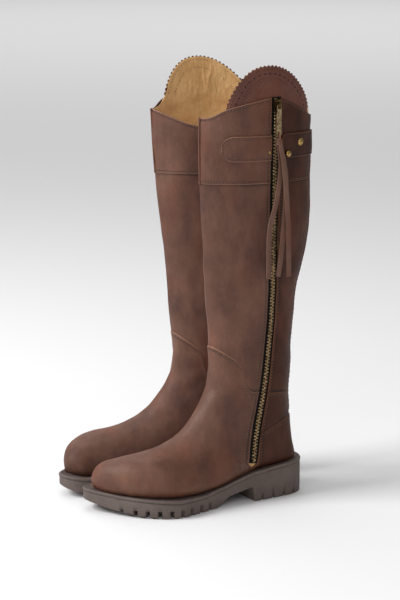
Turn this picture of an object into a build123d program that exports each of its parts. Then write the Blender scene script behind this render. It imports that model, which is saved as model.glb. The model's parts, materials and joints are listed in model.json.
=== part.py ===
from build123d import *
import math
import os

# A pair of tall riding boots, in millimetres, +Z up, toes towards -Y, left boot at +X.
# Each boot is drawn once, as the left one, in its own frame: the heel's back edge on the
# ground is the origin, u runs forward to the toe (-Y), v runs outward (+X) and z runs up.
# The right boot is the mirror image of the left.

# ---- placing of the pair -------------------------------------------------------------
SPLAY = 5.5  # each toe turns outward by this many degrees
HEEL_HALF_SPACING = 36.0  # from the middle plane to each heel's centre line
LEFT_HEEL_Y = 126.54
RIGHT_HEEL_Y = 122.74

# ---- leather and layers, as depths below the outer surface ---------------------------
UPPER_THICKNESS = 2.0
STIFFENER_DEPTH = 2.9
LINING_DEPTH = 3.4
PLATE_DEPTH = 4.0
TAPE_DEPTH = 1.1
STAY_THICKNESS = 1.4
STRAP_THICKNESS = 2.0
FAR = 90.0  # half width of a cutting prism, wider than any boot section
SPLIT_V = 13.0  # between the outer and inner halves at the top
ZIP_SIDE = 12.0  # the zip's prisms start here and run outward

# ---- sole ----------------------------------------------------------------------------
WELT_HEIGHT = 3.5
BOARD_THICKNESS = 2.2
FOOTBED_THICKNESS = 4.5
LUG_NOTCH_WIDTH = 4.5
LUG_NOTCH_HEIGHT = 8.5
LUG_NOTCH_LENGTH = 15.0
HEEL_NOTCH_WIDTH = 3.0
HEEL_NOTCH_HEIGHT = 5.5
SOLE_SIDES = 84

# ---- zip -----------------------------------------------------------------------------
SLOT_HALF_WIDTH = 6.2
TOOTH_PITCH = 3.6
TOOTH_WIDTH = 2.4
TOOTH_LENGTH = 1.5
TOOTH_HEIGHT = 1.4
TOOTH_SIDE_STEP = 1.0
FIRST_TOOTH = 2.0
LAST_TOOTH_GAP = 3.0
ZIP_TOP = (57.2, 455.0)
ZIP_STRAIGHT_END = (51.6, 240.0)
ZIP_CURVE = ((52.2, 205.0), (54.4, 181.0), (57.0, 156.0), (60.2, 131.0), (64.2, 110.0), (68.3, 90.0))
ZIP_CURVE_END = ((72.2, 67.0), (75.0, 46.0), (76.2, 38.0))
SLIDER_LENGTH = 14.5
SLIDER_WIDTH = 9.0
SLIDER_HEIGHT = 4.2
SLIDER_START = 2.0  # below the top of the teeth
SLIDER_FOOT = 0.6  # clear of the tape
SLIDER_CORNER = 2.5
BRIDGE_MIDDLE = 6.0  # from the slider's top end down to the middle of its bridge
BRIDGE_REACH = 2.4  # from the middle to each post
BRIDGE_POST = 1.6
BRIDGE_WIDTH = 3.0
BRIDGE_HEIGHT = 2.4
BRIDGE_THICKNESS = 1.0
HINGE_RISE = 1.3  # from the slider's top face out to the puller's hinge
PULLER_LENGTH = 34.0
PULLER_WIDTH = 6.0
PULLER_THICKNESS = 1.0
PULLER_CORNER = 2.6
PULLER_BAR_RADIUS = 0.65
PULLER_WINDOW = 3.8
PULLER_HOLE_RADIUS = 1.6
TOOTH_LIFT = 0.35  # clear of the tape
THONG_WIDTH = 6.0
THONG_THICKNESS = 1.8
PULLER_HOLE = 30.0  # from the puller's hinge down to the hole that the thongs go through
LOOP_GAP = 0.3
LOOP_PIN_RADIUS = 1.2  # the leather that passes through the puller's hole
CHEEK_THICKNESS = 1.2
CHEEK_LENGTH = 11.0
CHEEK_WIDTH = 4.6
CHEEK_MIDDLE = 3.0  # below the hole, as the knot's
KNOT_LENGTH = 8.0
KNOT_WIDTH = 7.0
KNOT_DEPTH = 6.6
KNOT_MIDDLE = 9.5
KNOT_CORNER = 2.0
# Each thong's middle line, as (down, forward) from the puller's hole, and how far out it hangs.
THONGS = (
    ((9.0, 0.0), (37.0, -4.5), (76.0, 1.5), (109.0, 10.0), (161.0, 11.0)),
    ((9.0, 0.0), (40.0, -8.5), (77.0, -9.5), (133.0, -4.5), (159.0, 0.0)),
    ((9.0, 0.0), (43.0, -7.0), (100.0, -14.0), (160.0, -18.0)),
)
THONG_SPACING = 2.1

# ---- the upper's outer surface: one row per station ----------------------------------
# Each station is a closed curve in a plane seen edge-on from the side. It runs from a
# front point to a back point (both u, z), which fan round from the shaft to the toe.
# Then: centre v, outer and inner half widths, how pointed the front and back ends are,
# how square the front and back halves are, and where the widest point lies (-1 to 1).
STATIONS = (
    (136.0, 505.0, -7.0, 505.0, 17.5, 34.2, 34.0, 1.45, 1.00, 1.00, 1.00, 0.00),
    (134.6, 434.0, -6.6, 434.0, 13.0, 34.0, 34.0, 1.45, 1.00, 1.00, 1.00, 0.00),
    (131.4, 363.0, -7.0, 363.0, 9.0, 33.4, 34.0, 1.40, 1.00, 1.00, 1.00, 0.00),
    (123.5, 289.0, -6.1, 289.0, 5.0, 32.7, 33.0, 1.30, 1.00, 1.00, 1.00, 0.00),
    (119.0, 232.0, 4.4, 232.0, 2.0, 32.0, 32.0, 1.20, 1.00, 1.00, 1.00, 0.00),
    (114.3, 179.0, 10.7, 176.0, 0.0, 32.0, 32.0, 1.10, 1.00, 1.00, 1.00, 0.00),
    (114.5, 146.0, 12.6, 132.0, 0.0, 32.0, 32.0, 1.05, 0.95, 1.00, 1.00, 0.00),
    (121.0, 119.0, 12.8, 90.0, 0.0, 32.0, 31.0, 1.00, 0.90, 1.00, 0.95, -0.05),
    (133.0, 99.0, 8.0, 60.0, 0.0, 32.0, 31.0, 1.00, 0.80, 1.00, 0.85, -0.10),
    (148.0, 84.0, 12.0, 35.5, 0.0, 33.0, 31.0, 1.00, 0.60, 1.00, 0.75, -0.20),
    (165.0, 73.5, 60.0, 31.5, 1.0, 34.0, 31.0, 1.00, 0.50, 1.00, 0.70, -0.35),
    (184.0, 67.0, 120.0, 18.0, 2.0, 38.0, 34.0, 1.00, 0.45, 1.00, 0.70, -0.45),
    (206.0, 63.0, 175.0, 15.5, 2.0, 44.0, 41.0, 1.00, 0.45, 1.00, 0.70, -0.42),
    (226.0, 59.0, 210.0, 17.5, -4.5, 37.0, 35.5, 0.90, 0.45, 1.00, 0.70, -0.38),
    (241.0, 52.0, 232.0, 19.5, -14.5, 26.0, 23.5, 0.80, 0.50, 0.95, 0.75, -0.25),
    (248.5, 42.5, 243.5, 22.0, -19.5, 14.5, 13.0, 0.75, 0.60, 0.90, 0.90, -0.10),
    (250.6, 36.0, 249.2, 27.0, -21.5, 5.5, 5.0, 0.75, 0.70, 0.90, 0.95, 0.00),
)
POINTS_PER_SECTION = 24
SECTION_STEP = 2 * math.pi / POINTS_PER_SECTION
STEPS_BETWEEN = (1, 1, 1, 1, 1, 1, 2, 2, 2, 2, 2, 2, 2, 2, 2, 1)
FIRST_TOE_STATION = 11  # from here on an inner layer also draws back from the toe's tip

# ---- outlines, all in (u, v) or (u, z) -----------------------------------------------
SOLE_OUTER_EDGE = (
    (0.0, 0.0), (4.0, 18.0), (12.0, 27.5), (26.0, 34.5), (50.0, 37.0), (76.0, 38.6), (102.0, 39.0),
    (129.0, 42.0), (155.0, 49.5), (179.0, 54.6), (193.0, 52.0), (205.0, 45.3), (222.0, 30.5),
    (235.0, 13.9), (246.0, -4.0),
)
SOLE_INNER_EDGE = (
    (254.0, -16.0), (257.8, -25.0), (256.5, -33.0), (251.0, -40.0), (241.0, -45.5), (226.0, -48.5),
    (205.0, -49.0), (180.0, -47.0), (155.0, -42.5), (129.0, -37.0), (102.0, -34.0), (76.0, -33.5),
    (50.0, -34.5), (26.0, -32.5), (12.0, -26.5), (4.0, -17.5),
)
SOLE_TOP = (
    (-8.0, 40.0), (17.0, 39.5), (50.0, 37.0), (77.0, 34.0), (93.0, 30.0), (114.0, 24.0),
    (142.0, 19.0), (179.0, 19.5), (211.0, 21.5), (234.0, 22.8), (248.0, 24.3), (270.0, 27.5),
)
SOLE_BOTTOM = (
    (270.0, 18.0), (255.0, 11.0), (245.6, 7.3), (234.0, 4.5), (221.0, 2.5), (205.0, 1.0),
    (185.0, 0.0), (128.0, 0.0), (110.0, 10.5), (79.5, 16.8), (76.0, 0.0), (-8.0, 0.0),
)
INSIDE_BOTTOM = (
    (-5.0, 39.3), (15.0, 39.0), (62.0, 35.0), (122.0, 22.4), (177.0, 19.4), (214.0, 21.2),
    (240.0, 23.5), (260.0, 27.0),
)
TOE_LUGS = (
    (234.0, 14.6), (224.0, 28.0), (214.0, 37.6), (203.0, 46.3), (191.0, 52.4), (178.0, 54.5),
    (165.0, 52.6), (151.0, 48.4), (138.0, 44.6),
)
HEEL_NOTCHES = (65.7, 50.7, 36.0, 21.0)

OUTER_TOP_FRONT = (
    (150.0, 432.5), (134.6, 433.5), (127.0, 434.5), (113.6, 442.6), (100.0, 446.8), (83.7, 450.7),
    (56.0, 456.0),
)
OUTER_TOP_REAR = ((50.0, 453.7), (30.5, 446.0), (6.3, 434.0), (-20.0, 431.0))
INNER_TOP = (
    (150.0, 434.0), (134.6, 433.0), (115.0, 424.0), (95.0, 416.5), (70.0, 413.5), (45.0, 416.0),
    (20.0, 424.0), (-20.0, 431.5),
)
PLATE_RIM = (
    (114.5, 441.0), (113.2, 450.0), (108.4, 462.0), (100.7, 474.5), (90.4, 483.6), (79.2, 488.6),
    (65.8, 490.0), (54.0, 488.6), (41.5, 484.0), (27.5, 475.0), (12.0, 459.5), (3.0, 445.0),
    (0.0, 434.0),
)
SCALLOPS = 33
SCALLOP_POINTS = 4
SCALLOP_DEPTH = 1.7
PLATE_OVERLAP = 12.0  # how far the plate reaches down behind the top edge
BAND_SEAM = 360.3
VAMP_SEAM = (
    (150.0, 180.0), (113.7, 176.5), (101.0, 167.0), (90.6, 158.0), (84.6, 142.0), (80.9, 128.6),
    (66.2, 123.4), (61.8, 122.6),
)
REAR_SEAM = ((61.8, 122.6), (50.5, 121.9), (17.5, 117.7), (-20.0, 117.0))
COUNTER_SEAM = ((70.0, 76.0), (59.4, 77.7), (39.6, 84.4), (19.3, 88.9), (-20.0, 90.0))
MIDDLE_LINE = (
    (0.0, -5.0), (0.0, 179.0), (2.0, 232.0), (5.0, 289.0), (9.0, 363.0), (13.0, 434.0), (17.5, 505.0),
)
STAY_BOTTOM = 92.0
STAY_TOP = 387.0
STAY_HALF_WIDTH = 9.0

# ---- strap and studs -----------------------------------------------------------------
STRAP_FRONT_START = 62.0
STRAP_FRONT_END = 116.0
STRAP_BOTTOM = 385.0
STRAP_TOP = 414.0
STRAP_TAB_HINGE = 27.5
STRAP_TAB_END = 48.6
STRAP_TAB_GAP = 0.6
STRAP_TAB_LIFT = 0.3  # clear of the panel below
STUD_DOME = (20.9, 403.9, 4.2)
STUD_BUTTON = (40.8, 392.5, 3.6)
STUD_SMALL = (64.5, 395.0, 1.8)
BUTTON_HOLE_RADIUS = 4.8
DOME_HEIGHT = 2.2
DOME_ROUNDING = 1.9
BUTTON_STEM_RADIUS = 2.2
BUTTON_STEM_HEIGHT = 3.2
BUTTON_HEAD_LIFT = 3.0
BUTTON_HEAD_HEIGHT = 2.8
BUTTON_ROUNDING = 2.4
SMALL_STUD_HEIGHT = 1.4


def mix(a, b, c, d, t):
    """Smooth curve through b and c, with a and d as the neighbours."""
    flat = 2 * b
    slope = (c - a) * t
    bend = (2 * a - 5 * b + 4 * c - d) * t * t
    twist = (3 * b - a - 3 * c + d) * t * t * t
    return 0.5 * (flat + slope + bend + twist)


def fine_stations():
    """The stations with extra ones eased in between them."""
    rows = []
    last = len(STATIONS) - 1
    for index, steps in enumerate(STEPS_BETWEEN):
        near = (
            STATIONS[max(index - 1, 0)],
            STATIONS[index],
            STATIONS[index + 1],
            STATIONS[min(index + 2, last)],
        )
        for step in range(steps):
            rows.append([mix(*values, step / steps) for values in zip(*near)])
    rows.append(list(STATIONS[last]))
    return rows


ROWS = fine_stations()
ROWS_BEFORE_TOE = sum(STEPS_BETWEEN[:FIRST_TOE_STATION])


def section_point(row, angle, depth=0.0, draw_back=0.0):
    """Point (v, u, z) of one station's curve; angle 0 is the front, pi the back."""
    front_u, front_z, back_u, back_z, centre, outer, inner = row[:7]
    q_front, q_back, p_front, p_back, widest = row[7:]
    run = math.hypot(front_u - back_u, front_z - back_z)
    step_u = (back_u - front_u) / run * depth
    step_z = (back_z - front_z) / run * depth
    cosine = math.cos(angle)
    sine = math.sin(angle)
    power = q_front + (q_back - q_front) * (1 - cosine) / 2
    if cosine >= 0:
        along = widest + (1 - widest) * abs(cosine) ** p_front
    else:
        along = widest - (1 + widest) * abs(cosine) ** p_back
    half = (outer if sine >= 0 else inner) - depth
    across = math.copysign(abs(sine) ** power, sine) * half
    part_way = (1 + along) / 2
    start_u = back_u - step_u
    start_z = back_z - step_z
    end_u = front_u + step_u
    end_z = front_z + step_z
    u = start_u + (end_u - start_u) * part_way - draw_back
    z = start_z + (end_z - start_z) * part_way
    return centre + across, u, z


def body_at_depth(depth):
    """Closed faceted solid of the whole upper, its surface moved inward by depth."""
    rings = []
    toe_rows = len(ROWS) - 1 - ROWS_BEFORE_TOE
    for index, row in enumerate(ROWS):
        draw_back = depth * max(0, index - ROWS_BEFORE_TOE) / toe_rows
        ring = []
        for number in range(POINTS_PER_SECTION):
            point = section_point(row, number * SECTION_STEP, depth, draw_back)
            ring.append(Vector(*to_xyz(point)))
        rings.append(ring)
    faces = []
    for upper_ring, lower_ring in zip(rings, rings[1:]):
        for number in range(POINTS_PER_SECTION):
            following = (number + 1) % POINTS_PER_SECTION
            first = (upper_ring[number], upper_ring[following], lower_ring[following])
            second = (upper_ring[number], lower_ring[following], lower_ring[number])
            faces.append(Face(Wire.make_polygon(first, close=True)))
            faces.append(Face(Wire.make_polygon(second, close=True)))
    faces.append(Face(Wire.make_polygon(rings[0], close=True)))
    faces.append(Face(Wire.make_polygon(rings[-1], close=True)))
    return Solid(Shell(faces))


def skin_point(u, z, lift=0.0):
    """Point on the outer side of the upper at side-view place (u, z), and its outward normal."""

    def on_ring(row, angle):
        low = int(angle / SECTION_STEP)
        share = angle / SECTION_STEP - low
        first = section_point(row, low * SECTION_STEP)
        second = section_point(row, (low + 1) * SECTION_STEP)
        return [a + (b - a) * share for a, b in zip(first, second)]

    def place(row_number, angle):
        low = min(int(row_number), len(ROWS) - 2)
        share = row_number - low
        first = on_ring(ROWS[low], angle)
        second = on_ring(ROWS[low + 1], angle)
        return [a + (b - a) * share for a, b in zip(first, second)]

    best = None
    for number in range(0, 2 * (len(ROWS) - 1)):
        for turn in range(3, 18):
            row_number = number / 2
            angle = math.pi * turn / 20
            _, pu, pz = place(row_number, angle)
            miss = (pu - u) ** 2 + (pz - z) ** 2
            if best is None or miss < best[0]:
                best = (miss, row_number, angle)
    _, row_number, angle = best
    for _ in range(12):
        v0, u0, z0 = place(row_number, angle)
        _, ua, za = place(row_number + 0.01, angle)
        _, ub, zb = place(row_number, angle + 0.001)
        a11, a12 = (ua - u0) / 0.01, (ub - u0) / 0.001
        a21, a22 = (za - z0) / 0.01, (zb - z0) / 0.001
        size = a11 * a22 - a12 * a21
        row_number += ((u - u0) * a22 - (z - z0) * a12) / size
        angle += ((z - z0) * a11 - (u - u0) * a21) / size
        row_number = min(max(row_number, 0.0), len(ROWS) - 1.02)
    here = Vector(*to_xyz(place(row_number, angle)))
    along = Vector(*to_xyz(place(row_number, angle + 0.02))) - here
    down = Vector(*to_xyz(place(row_number + 0.2, angle))) - here
    normal = down.cross(along).normalized()
    if normal.X < 0:
        normal = normal * -1
    return here + normal * lift, normal


def to_xyz(point):
    """From (v, u, z) to the boot's X, Y, Z."""
    v, u, z = point
    return v, -u, z


def side_prism(outline, low_v=-FAR, high_v=FAR):
    """Prism whose outline is drawn in side view as (u, z) and which runs across the boot."""
    with BuildPart() as prism:
        with BuildSketch(Plane.YZ.offset(low_v)):
            with BuildLine():
                Polyline(*[(-u, z) for u, z in outline], close=True)
            make_face()
        extrude(amount=high_v - low_v)
    return prism.part


def front_prism(outline, low_u=-40.0, high_u=290.0):
    """Prism whose outline is drawn in front view as (v, z) and which runs along the boot."""
    with BuildPart() as prism:
        with BuildSketch(Plane.XZ.offset(low_u)):
            with BuildLine():
                Polyline(*outline, close=True)
            make_face()
        extrude(amount=high_u - low_u)
    return prism.part


def layer(outside, inside, *limits):
    """The layer between two closed bodies, kept only within every limiting prism."""
    with BuildPart() as sheet:
        add(outside)
        add(inside, mode=Mode.SUBTRACT)
        for limit in limits:
            add(limit, mode=Mode.INTERSECT)
    return sheet.part


# ---- the nested bodies and the cutting prisms ----------------------------------------
body_stay = body_at_depth(-STAY_THICKNESS)
body_strap = body_at_depth(-STRAP_THICKNESS)
body_outer = body_at_depth(0.0)
body_tape = body_at_depth(TAPE_DEPTH)
body_upper = body_at_depth(UPPER_THICKNESS)
body_stiff = body_at_depth(STIFFENER_DEPTH)
body_lining = body_at_depth(LINING_DEPTH)
body_plate = body_at_depth(PLATE_DEPTH)

zip_line = (ZIP_TOP, ZIP_STRAIGHT_END) + ZIP_CURVE + ZIP_CURVE_END
zip_foot = zip_line[-1]
sole_end = (zip_foot[0] + 1.0, 0.0)
ahead_of_zip = side_prism(((57.2, 520.0),) + zip_line + (sole_end, (300.0, 0.0), (300.0, 520.0)))
behind_zip = side_prism(((57.2, 520.0),) + zip_line + (sole_end, (-40.0, 0.0), (-40.0, 520.0)))


def beside(line, distance):
    """The zip line moved sideways in side view."""
    moved = []
    for index, (u, z) in enumerate(line):
        before = line[max(index - 1, 0)]
        after = line[min(index + 1, len(line) - 1)]
        way_u = after[0] - before[0]
        way_z = after[1] - before[1]
        share = distance / math.hypot(way_u, way_z)
        moved.append((u - way_z * share, z + way_u * share))
    return moved


slot_line = ((57.4, 520.0),) + zip_line
slot_front = beside(slot_line, SLOT_HALF_WIDTH)
slot_rear = beside(slot_line, -SLOT_HALF_WIDTH)
zip_slot = side_prism(slot_front + list(reversed(slot_rear)), ZIP_SIDE, FAR)

outer_half = front_prism(MIDDLE_LINE + ((FAR, 505.0), (FAR, -5.0)))
inner_half = front_prism(MIDDLE_LINE + ((-FAR, 505.0), (-FAR, -5.0)))
band_foot = ((-20.0, BAND_SEAM), (150.0, BAND_SEAM))
under_outer_top = side_prism(OUTER_TOP_FRONT + OUTER_TOP_REAR + band_foot, SPLIT_V)
under_inner_top = side_prism(INNER_TOP + band_foot)
shaft_zone = side_prism(VAMP_SEAM + REAR_SEAM[1:] + band_foot)
vamp_zone = side_prism(VAMP_SEAM + zip_line[-5:] + (sole_end, (300.0, 0.0), (300.0, 180.0)))
quarter_front = ((75.0, 76.0), (75.0, 122.0))
quarter_zone = side_prism(REAR_SEAM + tuple(reversed(COUNTER_SEAM)) + quarter_front)
counter_zone = side_prism(COUNTER_SEAM + ((-20.0, 0.0), (90.0, 0.0), (90.0, 76.0)))

with BuildPart() as upper_shell:
    add(body_outer)
    add(body_upper, mode=Mode.SUBTRACT)
    add(zip_slot, mode=Mode.SUBTRACT)

pieces = {}


def keep(name, shape):
    """Store one finished piece under its name."""
    pieces[name] = shape


def panel(*limits):
    """One leather panel of the upper: the shell within every limiting prism."""
    with BuildPart() as cut_panel:
        add(upper_shell.part)
        for limit in limits:
            add(limit, mode=Mode.INTERSECT)
    return cut_panel.part


keep("vamp", panel(vamp_zone))
keep("quarter", panel(quarter_zone, behind_zip))
keep("heel_counter", panel(counter_zone, behind_zip))
keep("shaft_front", panel(shaft_zone, outer_half, ahead_of_zip))
keep("shaft_rear", panel(shaft_zone, outer_half, behind_zip))
keep("shaft_inner", panel(shaft_zone, inner_half))
keep("band_front", panel(under_outer_top, outer_half, ahead_of_zip))
keep("band_rear", panel(under_outer_top, outer_half, behind_zip))
keep("band_inner", panel(under_inner_top, inner_half))

# ---- side plate, lining and stiffeners -----------------------------------------------


def scalloped(curve):
    """Points along a curve that step in and out as a row of small scallops."""
    points = []
    for number in range(SCALLOPS * SCALLOP_POINTS + 1):
        share = number / (SCALLOPS * SCALLOP_POINTS)
        here = curve @ share
        slope = curve % share
        dip = SCALLOP_DEPTH * (1.0 - abs(math.sin(math.pi * number / SCALLOP_POINTS)))
        points.append((here.X + slope.Y * dip, here.Y - slope.X * dip))
    return points


plate_foot = [(u, z - PLATE_OVERLAP) for u, z in OUTER_TOP_FRONT[3:] + OUTER_TOP_REAR[:3]]
with BuildPart() as plate_prism:
    with BuildSketch(Plane.YZ.offset(SPLIT_V)):
        with BuildLine():
            rim = Spline(*[(-u, z) for u, z in PLATE_RIM], mode=Mode.PRIVATE)
            Polyline(*scalloped(rim), *[(-u, z) for u, z in reversed(plate_foot)], close=True)
        make_face()
    extrude(amount=FAR)
keep("side_plate", layer(body_upper, body_plate, plate_prism.part))

toe_zone = side_prism(((208.0, 0.0), (208.0, 70.0), (300.0, 70.0), (300.0, 0.0)))
heel_zone = side_prism(((66.0, 0.0), (66.0, 60.0), (40.0, 80.0), (-20.0, 84.0), (-20.0, 0.0)))
keep("toe_puff", layer(body_upper, body_stiff, toe_zone))
keep("heel_stiffener", layer(body_upper, body_stiff, heel_zone))

outer_lining_top = [(u, z - PLATE_OVERLAP) for u, z in OUTER_TOP_FRONT + OUTER_TOP_REAR]
inner_lining_top = [(u, z - 2.0) for u, z in INNER_TOP]
above_outer_lining = side_prism(outer_lining_top + [(-20.0, 520.0), (150.0, 520.0)], SPLIT_V - 1.0)
above_inner_lining = side_prism(inner_lining_top + [(-20.0, 520.0), (150.0, 520.0)], -FAR, SPLIT_V)
stiffener_room = layer(body_outer, body_stiff, toe_zone) + layer(body_outer, body_stiff, heel_zone)
with BuildPart() as lining:
    add(body_upper)
    add(body_lining, mode=Mode.SUBTRACT)
    add(above_outer_lining, mode=Mode.SUBTRACT)
    add(above_inner_lining, mode=Mode.SUBTRACT)
    add(stiffener_room, mode=Mode.SUBTRACT)
keep("lining", lining.part)


def floor_band(low, high):
    """A layer inside the lining, between two heights above the inside bottom line."""
    lower = [(u, z + low) for u, z in INSIDE_BOTTOM]
    upper = [(u, z + high) for u, z in reversed(INSIDE_BOTTOM)]
    with BuildPart() as band:
        add(body_lining)
        add(side_prism(lower + upper), mode=Mode.INTERSECT)
    return band.part


keep("insole_board", floor_band(-6.0, BOARD_THICKNESS))
keep("footbed", floor_band(BOARD_THICKNESS, BOARD_THICKNESS + FOOTBED_THICKNESS))

# ---- outsole and welt ----------------------------------------------------------------
sole_edge = [(v, -u) for u, v in SOLE_OUTER_EDGE + SOLE_INNER_EDGE]
welt_foot = [(u, z - WELT_HEIGHT) for u, z in SOLE_TOP]
outsole_profile = side_prism(welt_foot + list(SOLE_BOTTOM))
welt_profile = side_prism(list(SOLE_TOP) + list(reversed(welt_foot)))

with BuildPart() as sole_block:
    with BuildSketch(Plane.XY):
        with BuildLine():
            edge_curve = Spline(*sole_edge, periodic=True, mode=Mode.PRIVATE)
            Polyline(*[edge_curve @ (number / SOLE_SIDES) for number in range(SOLE_SIDES)], close=True)
        make_face()
    extrude(amount=60.0)


def lug_locations():
    """Places of the forefoot notches, square to the sole's edge on both sides."""
    places = []
    for index, (u, v) in enumerate(TOE_LUGS):
        before = TOE_LUGS[max(index - 1, 0)]
        after = TOE_LUGS[min(index + 1, len(TOE_LUGS) - 1)]
        angle = math.degrees(math.atan2(-(after[0] - before[0]), after[1] - before[1]))
        places.append(Location((v, -u, 0.0), (0, 0, angle)))
        inner_v = -34.0 - 0.18 * (min(u, 205.0) - 110.0) + 0.5 * max(0.0, u - 215.0)
        places.append(Location((inner_v, -u, 0.0), (0, 0, 0)))
    return places


with BuildPart() as outsole:
    add(sole_block.part)
    add(outsole_profile, mode=Mode.INTERSECT)
    add(body_outer, mode=Mode.SUBTRACT)
    with Locations(*lug_locations()):
        Box(2 * LUG_NOTCH_LENGTH, LUG_NOTCH_WIDTH, 2 * LUG_NOTCH_HEIGHT, mode=Mode.SUBTRACT)
    for notch_u in HEEL_NOTCHES:
        for notch_v in (-36.0, 36.0):
            with Locations((notch_v, -notch_u, 0.0)):
                Box(2 * LUG_NOTCH_LENGTH, HEEL_NOTCH_WIDTH, 2 * HEEL_NOTCH_HEIGHT, mode=Mode.SUBTRACT)
keep("outsole", outsole.part)

with BuildPart() as welt:
    add(sole_block.part)
    add(welt_profile, mode=Mode.INTERSECT)
    add(body_outer, mode=Mode.SUBTRACT)
keep("welt", welt.part)

# ---- back stay and straps ------------------------------------------------------------
stay_inner = [(v - STAY_HALF_WIDTH, z) for v, z in MIDDLE_LINE]
stay_outer = [(v + STAY_HALF_WIDTH, z) for v, z in MIDDLE_LINE]
stay_strip = front_prism(stay_inner + list(reversed(stay_outer)), -40.0, 45.0)
stay_height = side_prism(((-40.0, STAY_BOTTOM), (-40.0, STAY_TOP), (60.0, STAY_TOP), (60.0, STAY_BOTTOM)))
keep("back_stay", layer(body_stay, body_outer, stay_strip, stay_height))

strap_half = (STRAP_TOP - STRAP_BOTTOM) / 2
strap_middle = (STRAP_TOP + STRAP_BOTTOM) / 2
with BuildPart() as front_strap_prism:
    with BuildSketch(Plane.YZ.offset(SPLIT_V)):
        with Locations((-(STRAP_FRONT_END + STRAP_FRONT_START) / 2, strap_middle)):
            Rectangle(STRAP_FRONT_END - STRAP_FRONT_START, 2 * strap_half)
    extrude(amount=FAR)
    front_edges = front_strap_prism.edges().filter_by(Axis.X).group_by(Axis.Y)[0]
    fillet(front_edges, radius=strap_half - 1.5)
keep("front_strap", layer(body_strap, body_outer, front_strap_prism.part))

rear_strap_zone = side_prism((
    (STRAP_TAB_HINGE, STRAP_BOTTOM + 2.0),
    (STRAP_TAB_HINGE, STRAP_TOP + 1.0),
    (-20.0, STRAP_TOP - 3.0),
    (-20.0, STRAP_BOTTOM + 5.0),
))
rear_strap_side = front_prism(MIDDLE_LINE[4:] + ((FAR, 505.0), (FAR, 289.0)), -40.0, 60.0)
keep("rear_strap", layer(body_strap, body_outer, rear_strap_zone, rear_strap_side))

with BuildPart() as tab_prism:
    with BuildSketch(Plane.YZ.offset(SPLIT_V)):
        with BuildLine():
            Polyline(
                (-STRAP_TAB_HINGE - STRAP_TAB_GAP, STRAP_BOTTOM + 2.0),
                (-STRAP_TAB_END, STRAP_BOTTOM + 1.0),
                (-STRAP_TAB_END, STRAP_TOP + 1.0),
                (-STRAP_TAB_HINGE - STRAP_TAB_GAP, STRAP_TOP + 1.0),
                close=True,
            )
        make_face()
        with Locations((-STUD_BUTTON[0], STUD_BUTTON[1])):
            Circle(BUTTON_HOLE_RADIUS, mode=Mode.SUBTRACT)
    extrude(amount=FAR)
body_tab_under = body_at_depth(-STRAP_TAB_LIFT)
body_tab_top = body_at_depth(-STRAP_TAB_LIFT - STRAP_THICKNESS)
keep("strap_tab", layer(body_tab_top, body_tab_under, tab_prism.part))


def stud_plane(place, lift):
    """Plane lying on the outer side at a stud's place, with its normal pointing outward."""
    point, normal = skin_point(place[0], place[1], lift)
    return Plane(origin=point, x_dir=(0, 0, 1), z_dir=normal)


with BuildPart() as studs:
    # domed rivet that fixes the rear strap
    with BuildSketch(stud_plane(STUD_DOME, STRAP_THICKNESS)):
        Circle(STUD_DOME[2])
    extrude(amount=DOME_HEIGHT)
    fillet(studs.faces().sort_by(Axis.X)[-1].edges(), radius=DOME_ROUNDING)
with BuildPart() as button:
    # button stud that the strap's free end closes over
    with BuildSketch(stud_plane(STUD_BUTTON, 0.0)):
        Circle(BUTTON_STEM_RADIUS)
    extrude(amount=BUTTON_STEM_HEIGHT)
    with BuildSketch(stud_plane(STUD_BUTTON, BUTTON_HEAD_LIFT)):
        Circle(STUD_BUTTON[2])
    extrude(amount=BUTTON_HEAD_HEIGHT)
    fillet(button.faces().sort_by(Axis.X)[-1].edges(), radius=BUTTON_ROUNDING)
with BuildPart() as small_stud:
    with BuildSketch(stud_plane(STUD_SMALL, STRAP_THICKNESS)):
        Circle(STUD_SMALL[2])
    extrude(amount=SMALL_STUD_HEIGHT)
keep("strap_studs", Compound([studs.part.solid(), button.part.solid(), small_stud.part.solid()]))

# ---- zip -----------------------------------------------------------------------------
tape_outline = ((-40.0, 36.0), (-40.0, 456.0), (160.0, 456.0), (160.0, 36.0))
tape_height = side_prism(tape_outline, ZIP_SIDE, FAR)
keep("zip_tape_front", layer(body_tape, body_upper, zip_slot, tape_height, ahead_of_zip))
keep("zip_tape_rear", layer(body_tape, body_upper, zip_slot, tape_height, behind_zip))

straight_top, normal_top = skin_point(*ZIP_TOP, TOOTH_LIFT - TAPE_DEPTH)
straight_end, normal_end = skin_point(*ZIP_STRAIGHT_END, TOOTH_LIFT - TAPE_DEPTH)
run_down = (straight_end - straight_top).normalized()
run_out = ((normal_top + normal_end) - run_down * (normal_top + normal_end).dot(run_down)).normalized()
run_across = run_out.cross(run_down)
straight_length = (straight_end - straight_top).length


def zip_frames(start):
    """Planes along the zip, one per tooth: x down the zip, z outward."""
    planes = []
    travelled = start
    while travelled < straight_length:
        origin = straight_top + run_down * travelled
        planes.append(Plane(origin=origin, x_dir=run_down, z_dir=run_out))
        travelled += TOOTH_PITCH
    with BuildLine():
        path = Spline(*[(u, z) for u, z in (ZIP_STRAIGHT_END,) + ZIP_CURVE + ZIP_CURVE_END])
    travelled -= straight_length
    while travelled < path.length - LAST_TOOTH_GAP:
        share = travelled / path.length
        here = path @ share
        ahead = path @ min(share + 0.01, 1.0)
        origin, outward = skin_point(here.X, here.Y, TOOTH_LIFT - TAPE_DEPTH)
        next_point, _ = skin_point(ahead.X, ahead.Y, TOOTH_LIFT - TAPE_DEPTH)
        planes.append(Plane(origin=origin, x_dir=(next_point - origin), z_dir=outward))
        travelled += TOOTH_PITCH
    return planes


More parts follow.
